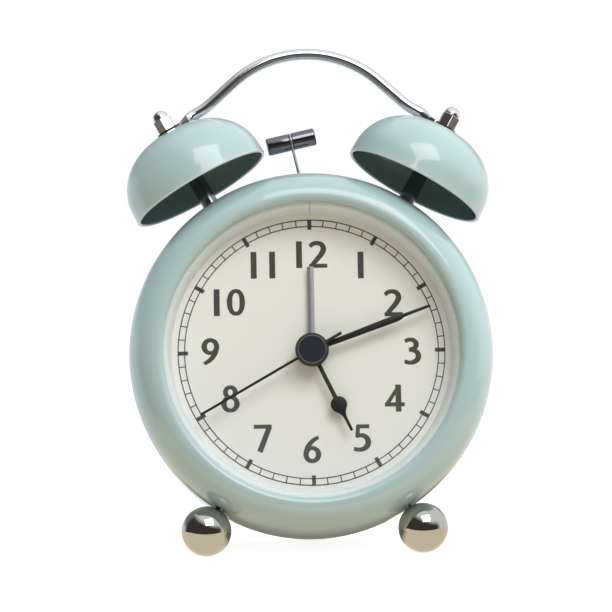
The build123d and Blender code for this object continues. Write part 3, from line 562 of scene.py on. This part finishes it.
hub = {"radius": 3.2, "edge": 0.1, "steps": 48}
hands = {
    "second": {"angle": 240.5, "front": 6.3, "back": 6.7, "edge": 0.06,
               "blade": [(-0.5, -10.7), (-0.42, 0), (-0.38, 40.5), (0.38, 40.5), (0.42, 0), (0.5, -10.7)]},
    "minute": {"angle": 70.0, "front": 7.3, "back": 7.8, "edge": 0.1,
               "blade": [(-0.75, 0), (-1.15, 28.6), (-0.95, 30.0), (-0.55, 31.2), (-0.42, 40.0),
                         (0.42, 40.0), (0.55, 31.2), (0.95, 30.0), (1.15, 28.6), (0.75, 0)]},
    "hour": {"angle": 154.4, "front": 8.5, "back": 9.0, "edge": 0.1,
             "blade": [(-0.65, 0)] + arc((0, 19.0), 2.6, 255, 133, 18) + arc((-4.5, 23.83), 4.0, -46, 0, 10)
             + [(-0.42, 28.2), (0.42, 28.2)] + arc((4.5, 23.83), 4.0, 180, 226, 10)
             + arc((0, 19.0), 2.6, 47, -75, 18) + [(0.65, 0)]},
}


def makeHand(name):
    hand = hands[name]
    thick, r, soft = hand["back"] - hand["front"], hub["radius"], hub["edge"]
    bm = bmesh.new()
    soften(bm, plate(bm, hand["blade"], 0, thick), hand["edge"])
    turn(bm, [(0, 0), (r, 0), (r, thick - soft), (r - soft, thick), (0, thick)], hub["steps"], closed=False)
    place = dialPlace(depth=hand["back"], angle=radians(hand["angle"]))
    settle(name + "Hand", bm, place, blackLacquer, name, [name + "_hand"], 25)


alarmHand = {"angle": 0.0, "back": 10.1, "root": 1.5, "length": 27.0, "half": 1.05, "edge": 0.15,
             "ridge": 0.5, "hole": 2.4, "thick": 0.4}


def makeAlarmHand():
    bm = bmesh.new()
    half, ridge, edge, root = [alarmHand[key] for key in ("half", "ridge", "edge", "root")]
    section = [(-half, 0), (half, 0), (half, edge), (0, ridge), (-half, edge)]
    end = bm.faces.new([bm.verts.new((x, root, z)) for x, z in section])
    tip = vertsOf(bmesh.ops.extrude_face_region(bm, geom=[end], use_keep_orig=True)["geom"])
    bmesh.ops.translate(bm, vec=(0, alarmHand["length"] - root, 0), verts=tip)
    bmesh.ops.recalc_face_normals(bm, faces=bm.faces)
    r, soft, hole, thick = hub["radius"], hub["edge"], alarmHand["hole"], alarmHand["thick"]
    turn(bm, [(hole, 0), (r, 0), (r, thick - soft), (r - soft, thick), (hole, thick)], hub["steps"])
    place = dialPlace(depth=alarmHand["back"], angle=radians(alarmHand["angle"]))
    settle("alarmHand", bm, place, silverHand, "alarm", ["alarm_hand"], 15)


cap = {"radius": 5.3, "front": 4.5, "back": 6.3, "chamfer": 0.95, "edge": 0.1, "sink": 0.2, "lead": 0.26,
       "ridge": 0.25, "ridgeHighlight": 0.14}


def makeCap():
    bm = bmesh.new()
    r, front, back, edge = cap["radius"], -cap["front"], -cap["back"], cap["edge"]
    shoulder, chamfer = r - cap["chamfer"], front - cap["chamfer"]
    face, bump = front - cap["sink"], cap["ridge"]
    ridge = arc((shoulder, front - bump), bump, 165, 40, 8)
    turn(bm, [(0, face), (shoulder - cap["lead"], face)] + ridge
         + [(r - edge, chamfer + edge), (r, chamfer - edge / 2), (r, back), (0, back)], 96, closed=False)
    for f in bm.faces:  # one black cap in three tones: flat face, a painted highlight on the ridge, a painted dark reflection on the rim
        middle = f.calc_center_median()
        out = middle.xy.length - shoulder
        flat = middle.z > face - edge and out < -cap["sink"]
        f.material_index = 0 if flat else 1 if abs(out) < cap["ridgeHighlight"] else 2
    finishes = [capBlack, capRidgeHighlight, blackLacquer]
    settle("hubCap", bm, dialPlace(), finishes, "second", ["hub_cap"], 25)


for handName in hands:
    makeHand(handName)
makeAlarmHand()
makeCap()
print("hands made")


# bells on their posts, with the handle's cap nuts on top

bell = {
    "angle": 29.0, "aside": 3.6, "depth": 21.0, "rim": 64.3, "wall": 1.1, "height": 20.8, "hole": 1.5,
    "edge": 0.45, "rimBand": (0.35, 20), "rimAngle": 0.6, "steps": 144,
    "knots": [((23.6, 0), (-0.3, 3.0)), ((22.4, 9.2), (-1.4, 3.7)), ((14.8, 18.0), (-3.6, 2.1)),
              ((3.4, 20.8), (-3.8, 0))],
}


def bellPlace(sign, reach=0):
    place = spokePlace(radians(sign * bell["angle"]), bell["depth"], aside=sign * bell["aside"])
    return place @ Matrix.Translation((0, 0, reach))


def bellCurve():
    points = []
    knots = bell["knots"]
    for (start, leave), (end, arrive) in zip(knots, knots[1:]):
        one, two = Vector(start), Vector(end)
        run = interpolate_bezier(one, one + Vector(leave), two - Vector(arrive), two, 16)
        points += [tuple(p)[:2] for p in run[:-1]]
    return points + [knots[-1][0], (bell["hole"], bell["height"])]


def makeBell(side, sign):
    bm = bmesh.new()
    turn(bm, bellCurve(), bell["steps"], closed=False)
    outside = set(bm.faces)
    bmesh.ops.solidify(bm, geom=bm.faces[:], thickness=bell["wall"])
    # inside faces take the darker mint: painted shade
    for f in bm.faces:
        f.material_index = 0 if f in outside else 1
    high, out = bell["rimBand"]
    rim = [e for e in bm.edges if all(abs(v.co.z) < high and v.co.xy.length > out for v in e.verts)
           and len(e.link_faces) == 2 and e.calc_face_angle(0) > bell["rimAngle"]]
    # the rounded rim takes the lighter mint: a painted highlight
    soften(bm, rim, bell["edge"], 3, 2)
    settle("bell" + side, bm, bellPlace(sign, bell["rim"]), [mintPaint, bellInsidePaintedShade, rimEdgeHighlight], "clock",
           ["bell_" + side.lower()], 40)


post = {"radius": 2.7, "foot": 57.0, "stud": 1.5, "studFoot": 53.0, "studTop": 90.3, "edge": 0.2}


def makePost(side, sign):
    top = bell["rim"] + bell["height"] - bell["wall"]
    wide, thin, low, edge = post["radius"], post["stud"], post["studFoot"], post["edge"]
    bm = bmesh.new()
    turn(bm, [(0, low), (thin - edge, low), (thin, low + edge), (thin, post["foot"]), (wide, post["foot"]),
              (wide, top - edge), (wide - edge, top), (thin, top), (thin, post["studTop"]),
              (0, post["studTop"])], 48, closed=False)
    nodes = ["bell_post_" + side.lower()]
    settle("bellPost" + side, bm, bellPlace(sign), postChromePaintedShade, "clock", nodes)


capNut = {"flats": 5.5, "hex": 4.4, "height": 7.4, "tabTop": 86.3, "turn": -10.0, "edge": 0.16,
          "inset": 0.1, "foot": 0.4}


def makeCapNuts():
    bm = bmesh.new()
    corner, tall = capNut["flats"] / sqrt(3), capNut["hex"]
    bmesh.ops.create_cone(bm, cap_ends=True, segments=6, radius1=corner, radius2=corner, depth=tall)
    bmesh.ops.translate(bm, vec=(0, 0, tall / 2), verts=bm.verts)
    soften(bm, bm.edges[:], capNut["edge"])
    dome, low = capNut["flats"] / 2 - capNut["inset"], capNut["foot"]
    start = capNut["height"] - dome
    turn(bm, [(0, low), (dome, low)] + arc((0, start), dome, 0, 90, 12), 48, closed=False)
    places = [bellPlace(sign, capNut["tabTop"]) @ Matrix.Rotation(radians(-sign * capNut["turn"]), 4, "Z")
              for sign in (-1, 1)]
    settle("capNuts", copies(bm, places), Matrix(), brightChrome, "clock", ["acorn_nuts"], 12)


for sideName, sideSign in sides:
    makeBell(sideName, sideSign)
    makePost(sideName, sideSign)
makeCapNuts()
print("bells made")


# carrying handle: a bent rod, flattened under the cap nuts

handle = {
    "rod": 1.8, "top": 98.8, "arch": 35.0, "half": 42.5, "rise": 1.2, "bend": 3.0, "depth": 21.0,
    "tab": (8.5, 1.2), "tabLine": 85.7, "roundStart": 9.6, "flatStart": 3.6, "press": 1.25, "square": 0.982,
    "pressSteps": 8, "tipTurns": (15, 30, 45, 60, 72, 82, 88), "paintedShadeEdges": (7.5, 0.5, 1.2), "weld": 0.001,
}


def makeHandle():
    bm = bmesh.new()
    rod, bend, rise, arch = [handle[key] for key in ("rod", "bend", "rise", "arch")]
    half, tabAngle = radians(handle["half"]), radians(bell["angle"])
    swing = half - tabAngle
    out, up = Vector((cos(half), -sin(half), 0)), Vector((sin(half), cos(half), 0))
    tabOut = Vector((cos(tabAngle), -sin(tabAngle), 0))
    tabUp = Vector((sin(tabAngle), cos(tabAngle), 0))

    def sweep(ring, centre, way, angle, steps):
        swept = bmesh.ops.spin(
            bm, geom=ring + edgesAmong(bm, ring), cent=centre, axis=(0, 0, way), dvec=(0, 0, 0),
            angle=angle, steps=steps,
        )
        return vertsOf(swept["geom_last"])

    def reach(ring, move):
        fresh = vertsOf(bmesh.ops.extrude_edge_only(bm, edges=edgesAmong(bm, ring))["geom"])
        bmesh.ops.translate(bm, vec=move, verts=fresh)
        return fresh

    # half the arch, a straight run, and the bend into the tab's line
    ring = bmesh.ops.create_circle(bm, segments=32, radius=rod)["verts"]
    bmesh.ops.rotate(bm, cent=(0, 0, 0), matrix=Matrix.Rotation(pi / 2, 3, "Y"), verts=ring)
    bmesh.ops.translate(bm, vec=(0, handle["top"], 0), verts=ring)
    middle = Vector((0, handle["top"] - arch, 0))
    ring = sweep(ring, middle, -1, half, 40)
    archEnd = middle + up * arch
    rodHeight = handle["tabLine"] + rise
    run = (archEnd.dot(tabUp) - rodHeight) / sin(swing)
    corner = archEnd + out * run
    ring = reach(ring, out * (run - bend))
    ring = sweep(ring, corner - out * bend + up * (bend / tan(swing / 2)), 1, swing, 10)
    start, flat = handle["roundStart"], handle["flatStart"]
    rodEnd = tabUp * rodHeight + tabOut * (bell["aside"] - start)
    ring = reach(ring, rodEnd - (corner + tabOut * bend))

    # the rod is pressed flat towards the stud, then rounded off beyond it
    wide, thick = [size / 2 for size in handle["tab"]]
    steps = []
    for i in range(1, handle["pressSteps"] + 1):
        t = i / handle["pressSteps"]
        ease = t * t * (3 - 2 * t)
        steps.append((-start + (start - flat) * t, rod + (wide - rod) * ease, rod + (thick - rod) * ease,
                      rise * (1 - ease)))
    steps.append((0, wide, thick, 0))
    steps += [(wide * sin(radians(a)), wide * cos(radians(a)), thick, 0) for a in handle["tipTurns"]]
    tabTurn = Matrix((tabOut, tabUp, Vector((0, 0, 1)))).to_4x4()
    nowAt, nowWide, nowThick, nowRise = -start, rod, rod, rise
    for at, halfWide, halfThick, lift in steps:
        ring = reach(ring, tabOut * (at - nowAt) + tabUp * (lift - nowRise))
        centre = tabUp * (handle["tabLine"] + lift) + tabOut * (bell["aside"] + at)
        space = tabTurn @ Matrix.Translation(-centre)
        bmesh.ops.scale(bm, vec=(1, halfThick / nowThick, halfWide / nowWide), space=space, verts=ring)
        limit = handle["square"] * halfWide
        for v in ring if at <= -flat else []:
            height = (v.co - centre).dot(tabUp)
            v.co += tabUp * (max(-halfThick, min(halfThick, height * handle["press"])) - height)
            v.co.z = max(-limit, min(limit, v.co.z))
        nowAt, nowWide, nowThick, nowRise = at, halfWide, halfThick, lift
    bmesh.ops.contextual_create(bm, geom=edgesAmong(bm, ring))

    everything = bm.verts[:] + bm.edges[:] + bm.faces[:]
    bmesh.ops.mirror(bm, geom=everything, matrix=Matrix(), merge_dist=handle["weld"], axis="X")
    bmesh.ops.remove_doubles(bm, verts=bm.verts, dist=handle["weld"])
    bmesh.ops.recalc_face_normals(bm, faces=bm.faces)
    length, steep, off = handle["paintedShadeEdges"]
    for f in bm.faces:  # the left tab's edges are painted dark: a painted dark reflection
        spot = f.calc_center_median()
        at = Vector((abs(spot.x), spot.y, 0)).dot(tabOut) - bell["aside"]
        edge = abs(f.normal.z) > steep and abs(spot.z) > off
        f.material_index = int(spot.x < 0 and at > -length and edge)
    place = dialPlace(depth=handle["depth"])
    settle("handle", bm, place, [rodChrome, paintedShadeSteel], "clock", ["handle"], 35)


makeHandle()
print("handle made")


# ball feet

foot = {"radius": 7.8, "angle": 31.2, "reach": 65.5, "ballEnd": -79.2, "stud": 1.5, "studTop": 52.2,
        "step": 0.4}


def footDepth():  # how far back the balls stand, from the height of their solids
    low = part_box("foot_left")[0]
    ballV = -foot["reach"] * cos(radians(foot["angle"]))
    height = low.z / mm + foot["radius"]
    return (lipCentre.z / mm + ballV * clockUp.z - height) / clockOut.z


def makeFoot(side, sign):
    bm = bmesh.new()
    stud, top = foot["stud"], foot["studTop"]
    neck = foot["reach"] - sqrt(foot["radius"] ** 2 - stud ** 2)
    ball = arc((0, foot["reach"]), foot["radius"], 90, foot["ballEnd"], 56)
    turn(bm, ball + [(stud, neck - foot["step"]), (stud, top), (0, top)], 96, closed=False)
    for f in bm.faces:
        # the stud below the ball's neck takes the dark steel: a painted contact shadow
        f.material_index = 1 if f.calc_center_median().z < neck else 0
    place = spokePlace(radians(180 - sign * foot["angle"]), footDepth())
    nodes = ["foot_" + side.lower()]
    settle("foot" + side, bm, place, [warmNickel, paintedShadeSteel], "clock", nodes, 40)


for sideName, sideSign in sides:
    makeFoot(sideName, sideSign)
print("feet made")


# hammer head and its spring wire

hammer = {
    "pivot": 46.6, "lean": -12.7, "arm": 23.68, "depth": 21.0, "length": 16.0, "radius": 2.8, "edge": 0.5,
    "groove": 1.9, "grooveEdge": 0.12, "wire": 0.45, "wireStart": 1.6, "play": 0.05,
}


def makeHammer():
    half, r, edge = hammer["length"] / 2, hammer["radius"], hammer["edge"]
    wire, groove, soft = hammer["wire"], hammer["groove"], hammer["grooveEdge"]
    gap = wire + hammer["play"]
    place = spokePlace(radians(hammer["lean"]), hammer["depth"], hammer["pivot"])
    along = Matrix.Translation((0, 0, hammer["arm"])) @ Matrix.Rotation(pi / 2, 4, "Y")
    bm = bmesh.new()
    profile = [(0, -half)] + arc((r - edge, -half + edge), edge, -90, 0, 4)
    profile += [(r, -gap - soft), (r - soft, -gap), (groove, -gap)]
    profile += [(groove, gap), (r - soft, gap), (r, gap + soft)]
    profile += arc((r - edge, half - edge), edge, 0, 90, 4) + [(0, half)]
    turn(bm, profile, 64, closed=False, place=along)
    settle("hammerHead", bm, place, darkChrome, "hammer", ["hammer_head"], 30)
    bm = bmesh.new()
    loop = groove + wire
    turn(bm, arc((loop, 0), wire, 0, 345, 23), 48, place=along)
    low, high = hammer["wireStart"], hammer["arm"] - loop
    turn(bm, [(0, low), (wire, low), (wire, high), (0, high)], 24, closed=False)
    settle("hammerWire", bm, place, plainSteel, "hammer", ["hammer_wire"], 40)


makeHammer()
print("hammer made")


# set knobs on the back

knob = {
    "radius": 6.5, "front": 50.2, "back": 58.4, "edge": 0.5, "flutes": 20, "flute": 0.5, "fluteSteps": 8,
    "dish": 5.0, "bowl": [(0, 0), (0.15, 0.1), (0.4, 0.42), (0.7, 0.5)], "time": 13.0, "alarm": -14.4,
}


def makeKnob(name, u):
    bm = bmesh.new()
    count = knob["flutes"] * knob["fluteSteps"]
    rim = []
    for i in range(count):
        a = i * 2 * pi / count
        r = knob["radius"] - knob["flute"] * (0.5 - 0.5 * cos(knob["flutes"] * a)) ** 2
        rim.append((r * cos(a), r * sin(a)))
    soften(bm, plate(bm, rim, knob["front"], knob["back"]), knob["edge"], 3)
    top = max(bm.faces, key=lambda f: (round(f.calc_center_median().z, 4), f.calc_area()))
    edges = top.edges[:]
    bmesh.ops.delete(bm, geom=[top], context="FACES_ONLY")
    circle = bmesh.ops.create_circle(bm, segments=count, radius=knob["dish"])["verts"]
    bmesh.ops.translate(bm, vec=(0, 0, knob["back"]), verts=circle)
    edges += list({e for v in circle for e in v.link_edges})
    bmesh.ops.bridge_loops(bm, edges=edges)
    bowl = [(knob["dish"] - inwards, knob["back"] - down) for inwards, down in knob["bowl"]]
    turn(bm, bowl + [(0, bowl[-1][1])], count, closed=False)
    nodes = [name + "_set_knob"]
    settle(name + "Knob", bm, coverPlace(u, 0, 0), greyPlastic, name + "_set", nodes, 30)


makeKnob("time", knob["time"])
makeKnob("alarm", knob["alarm"])
print("knobs made")


# cover screws with a cross recess, raised marks on the cover and grip ribs on the battery door

screw = {
    "circle": 45.0, "angles": (30, 150, 270), "turn": 0.7, "radius": 1.25, "length": 10.0,
    "tip": (0.4, 0.6), "head": 2.6, "crown": [(0, 0), (0, 0.45), (0.15, 0.85), (0.5, 1.25), (1.0, 1.5)],
    "cross": (1.35, 0.36, 0.9), "crossSteps": 4,
}


def makeScrews():
    bm = bmesh.new()
    shank, low, crown = screw["radius"], -screw["length"], screw["crown"]
    inwards, upwards = screw["tip"]
    turn(bm, [(0, low), (shank - inwards, low), (shank, low + upwards), (shank, 0)]
         + [(screw["head"] - x, z) for x, z in crown], 48, closed=False)
    reach, half, deep = screw["cross"]
    corners = [(reach, -half), (reach, half), (half, half), (half, reach), (-half, reach), (-half, half)]
    corners += [(-x, -y) for x, y in corners]
    count = screw["crossSteps"]
    runs = [(Vector(a), Vector(b)) for a, b in zip(corners, corners[1:] + corners[:1])]
    points = [a.lerp(b, i / count) for a, b in runs for i in range(count)]
    ring = [bm.verts.new((x, y, crown[-1][1])) for x, y in points]
    loop = [bm.edges.new(pair) for pair in zip(ring, ring[1:] + ring[:1])]
    shoulder = [e for e in bm.edges if e.is_boundary]
    bmesh.ops.bridge_loops(bm, edges=shoulder + loop)
    floor = vertsOf(bmesh.ops.extrude_edge_only(bm, edges=loop)["geom"])
    bmesh.ops.translate(bm, vec=(0, 0, -deep), verts=floor)
    bmesh.ops.contextual_create(bm, geom=edgesAmong(bm, floor))
    bmesh.ops.recalc_face_normals(bm, faces=bm.faces)
    places = []
    for degrees in screw["angles"]:
        a = radians(degrees)
        place = coverPlace(screw["circle"] * cos(a), screw["circle"] * sin(a), cover["back"])
        places.append(place @ Matrix.Rotation(screw["turn"] * a, 4, "Z"))
    settle("coverScrews", copies(bm, places), Matrix(), plainSteel, "clock", ["back_screws"], 30)


cover = {
    "back": 49.6, "mark": 0.3, "bite": 0.05, "edge": 0.1, "bead": (51.2, 0.7, 0.45), "arrow": (9.0, 0.5),
    "sweep": (40, 140), "head": (1.5, 16), "switch": (9.5, 20.0), "off": (1.0, 1.5), "on": (0.3, 1.4),
}


def makeMarks():
    bm = bmesh.new()
    mark, bite = cover["mark"], -cover["bite"]
    radius, wide, tall = cover["bead"]
    turn(bm, arc((radius, bite), (wide, tall), 180, 0, 10), 160)
    bead = set(bm.faces)
    radius, wide = cover["arrow"]
    low, high = cover["sweep"]
    long, spread = cover["head"]
    tip = [(radius + long, high), (radius, high + spread), (radius - long, high)]
    arrow = arc((0, 0), radius + wide / 2, low, high, 20)
    arrow += [(r * cos(radians(a)), r * sin(radians(a))) for r, a in tip]
    arrow += arc((0, 0), radius - wide / 2, high, low, 20)
    for u in (-knob["time"], -knob["alarm"]):
        soften(bm, plate(bm, [(u + x, y) for x, y in arrow], bite, mark), cover["edge"])
    aside, up = cover["switch"]  # a ring for off and a bar for on
    inner, outer = cover["off"]
    turn(bm, [(inner, bite), (outer, bite), (outer, mark), (inner, mark)], 40,
         place=Matrix.Translation((-aside, up, 0)))
    plate(bm, block(aside, up, *cover["on"]), bite, mark)
    for f in bm.faces:
        f.material_index = 0 if f in bead else 1
    settle("coverMarks", bm, coverPlace(0, 0, cover["back"]), [backPlastic, greyPlastic], "clock",
           crease=30)


rib = {"count": 5, "first": -25.1, "pitch": 1.1, "half": 7.0, "taper": 0.9, "thick": 0.25, "edge": 0.12}


def makeRibs():
    bm = bmesh.new()
    for i in range(rib["count"]):
        shape = block(0, rib["first"] - rib["pitch"] * i, rib["half"] - rib["taper"] * i, rib["thick"])
        soften(bm, plate(bm, shape, -cover["bite"], cover["mark"]), rib["edge"])
    place = coverPlace(0, 0, cover["back"])
    settle("doorRibs", bm, place, backPlastic, "battery_door", crease=30)


makeScrews()
makeMarks()
makeRibs()
print("back dressed")


# finishes for the pieces that keep their own shape

nodeFinish = {
    "dial_backing": backPlastic, "back_cover": backPlastic, "battery_door": backPlastic,
    "battery": cellSleeve, "battery_contacts": plainSteel, "movement_plate": blackPlastic,
    "movement_case": blackPlastic, "stepper_stator": plainSteel, "stepper_coil": copperWire,
    "circuit_board": boardGreen,
    "motion_wheel": gearPlastic, "minute_tube": turnedBrass, "hour_wheel": gearPlastic,
    "alarm_wheel": gearPlastic, "alarm_set_shaft": gearPlastic, "second_arbor": plainSteel,
    "third_wheel": gearPlastic, "centre_wheel": gearPlastic, "hammer_rocker": plainSteel,
    "striker_bracket": plainSteel, "striker_coil": copperWire, "striker_core": plainSteel,
    "post_nuts": plainSteel, "foot_nuts": plainSteel, "alarm_switch": greyPlastic,
}
for nodeName, finish in nodeFinish.items():
    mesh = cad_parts[nodeName].data
    mesh.materials.clear()
    mesh.materials.append(finish.holder)
print("kept pieces finished")


# studio: pale floor, a glowing card mirrored in the clock, soft lights and a surround that only the clock
# sees


def stageSheet(name, bm, finish):
    mesh = bpy.data.meshes.new(name)
    bm.to_mesh(mesh)
    bm.free()
    sheet = bpy.data.objects.new(name, mesh)
    scene.collection.objects.link(sheet)
    mesh.materials.append(finish.holder)
    sheet.visible_diffuse = sheet.visible_shadow = False
    return sheet


floorValues = {"radius": 6.0, "colour": (0.5, 0.5, 0.5, 1), "deeper": (0.48, 0.48, 0.48, 1), "glow": 0.8}


def makeFloor():
    bm = bmesh.new()
    bmesh.ops.create_circle(bm, cap_ends=True, segments=64, radius=floorValues["radius"])
    finish = newFinish("paleFloor")
    tone = finish.blend(finish.noise(scale=40, detail=3), floorValues["colour"], floorValues["deeper"])
    finish.principled({
        "Base Color": tone, "Roughness": 0.8, "Specular IOR Level": 0.0,
        "Emission Color": (1, 1, 1, 1), "Emission Strength": floorValues["glow"],
    })
    # the clock is lit and mirrored by the surround, not by the floor
    floor = stageSheet("floor", bm, finish)
    floor.visible_glossy = False


# shade, bow and ripple shape the card's painted shadow: where it starts and ends, its dip in the middle,
# its rough edge
cardValues = {"wide": 0.4, "front": -0.09, "back": 0.05, "drop": 0.0002, "shade": (-0.03, -0.01), "bow": 14,
              "ripple": 0.008}


def makeCard():  # glowing sheet under the clock standing in for the lit table, with a painted shadow under the clock; it only shows mirrored in the clock
    bm = bmesh.new()
    bmesh.ops.create_grid(bm, x_segments=1, y_segments=1, size=0.5)
    front, back = cardValues["front"], cardValues["back"]
    bmesh.ops.scale(bm, vec=(cardValues["wide"], back - front, 1), verts=bm.verts)
    bmesh.ops.translate(bm, vec=(0, (front + back) / 2, -cardValues["drop"]), verts=bm.verts)
    finish = newFinish("warmCard")
    across = finish.axis("X")
    under = finish.axis("Y") + cardValues["ripple"] * finish.noise(scale=60, detail=3)
    # painted shadow: the card's glow turns from table to shade under and behind the clock, deepest in the
    # middle
    reach = finish.rise(under - cardValues["bow"] * across * across, *cardValues["shade"])
    glow = finish.blend(reach, surround["table"], surround["shade"])
    finish.principled({
        "Base Color": (0, 0, 0, 1), "Roughness": 1.0, "Specular IOR Level": 0.0,
        "Emission Color": glow, "Emission Strength": 1.0,
    })
    card = stageSheet("card", bm, finish)
    card.visible_camera = False


white, cool = (1, 1, 1), (0.84, 0.95, 1)
lights = {
    "aim": (0, 0, 0.08),
    # place, size, power, colour, and whether the clock mirrors it
    "lamps": {
        "windowSoftbox": ((0.22, -0.71, 0.87), (0.74, 0.66), 4.3, white, True),
        "keySoftbox": ((0.46, -0.58, 0.92), (0.4, 0.4), 4.5, white, False),
        "fillSoftbox": ((0, -0.95, 0.55), (0.9, 0.9), 1.3, white, False),
        "leftCard": ((-0.7, 0.15, 0.2), (0.5, 0.3), 1.6, cool, False),
        "rightCard": ((0.7, 0.15, 0.2), (0.5, 0.3), 1.0, cool, False),
        "backSoftbox": ((0.4, 0.9, 0.7), (0.6, 0.6), 4.0, white, False),
    },
}


def makeLights():
    for name, (spot, size, power, colour, mirrored) in lights["lamps"].items():
        lamp = bpy.data.lights.new(name, "AREA")
        lamp.shape = "RECTANGLE"
        lamp.size, lamp.size_y = size
        lamp.energy = power
        lamp.color = colour
        holder = bpy.data.objects.new(name, lamp)
        holder.location = spot
        holder.rotation_euler = (Vector(lights["aim"]) - Vector(spot)).to_track_quat("-Z", "Y").to_euler()
        holder.visible_glossy = mirrored
        scene.collection.objects.link(holder)


# colours, then where each ramp starts and ends; a slant tips a ramp towards one side
surround = {
    "table": (1.0, 0.88, 0.68, 1), "shade": (0.2, 0.18, 0.15, 1), "room": (0.065, 0.058, 0.055, 1),
    "ceiling": (1.0, 1.02, 1.05, 1), "paperCool": (0.78, 0.87, 0.94, 1), "paperWarm": (1.0, 1.0, 0.98, 1),
    "backdrop": (0.28, 0.28, 0.3, 1), "strength": 1.0,
    "warm": (-0.6, 0.6), "behind": (0.3, 0.7), "behindSlant": -0.4, "behindFoot": (0.05, 0.25),
    "front": (-0.15, 0.3), "frontSlant": 0.35, "overhead": (0.45, 0.82), "overheadSlant": 0.35,
    "under": (0, 0.75), "underBow": 0.6, "far": (0.1, 0.4), "horizon": (-0.11, -0.07),
}


def makeSurround():  # table below, dim room in front, white paper behind and overhead
    scene.world = bpy.data.worlds.new("surround")
    sky = Finish(scene.world)
    high, back, side = [sky.axis(letter, "Generated") for letter in "ZYX"]
    paper = sky.blend(sky.rise(side, *surround["warm"]), surround["paperCool"], surround["paperWarm"])
    behind = sky.rise(back + surround["behindSlant"] * side, *surround["behind"])
    paper = sky.blend(behind * sky.rise(high, *surround["behindFoot"]), paper, surround["backdrop"])
    front = sky.rise(back + surround["frontSlant"] * side, *surround["front"])
    walls = sky.blend(front, surround["room"], paper)
    overhead = sky.rise(high + surround["overheadSlant"] * side, *surround["overhead"])
    above = sky.blend(overhead, walls, surround["ceiling"])
    under = sky.rise(back + surround["underBow"] * side * side, *surround["under"])
    below = sky.blend(under, surround["table"], surround["shade"])
    far = sky.blend(sky.rise(back, *surround["far"]), surround["shade"], paper)
    below = sky.blend(sky.node("ShaderNodeLightPath", out="Is Glossy Ray"), below, far)
    around = sky.blend(sky.rise(high, *surround["horizon"]), below, above)
    unseen = sky.node("ShaderNodeBackground", {}, {"Color": around, "Strength": surround["strength"]})
    seen = sky.node("ShaderNodeBackground", {}, {"Color": (1, 1, 1, 1), "Strength": 1.0})
    toCamera = sky.node("ShaderNodeLightPath", out="Is Camera Ray")
    both = sky.node("ShaderNodeMixShader", {}, {0: toCamera, 1: unseen, 2: seen})
    sky.node("ShaderNodeOutputWorld", {}, {"Surface": both})


camera = {"place": (-0.01756, -0.72071, 0.09812), "turn": (88.3267, 0.8296, -1.3193), "lens": 131.55,
          "sensor": 36, "clip": (0.05, 50)}


def makeCamera():
    data = bpy.data.cameras.new("camera")
    data.lens = camera["lens"]
    data.sensor_width = camera["sensor"]
    data.clip_start, data.clip_end = camera["clip"]
    holder = bpy.data.objects.new("camera", data)
    holder.location = camera["place"]
    holder.rotation_euler = [radians(a) for a in camera["turn"]]
    scene.collection.objects.link(holder)
    scene.camera = holder


makeFloor()
makeCard()
makeLights()
makeSurround()
makeCamera()
scene.view_settings.view_transform = "Standard"
print("studio made")
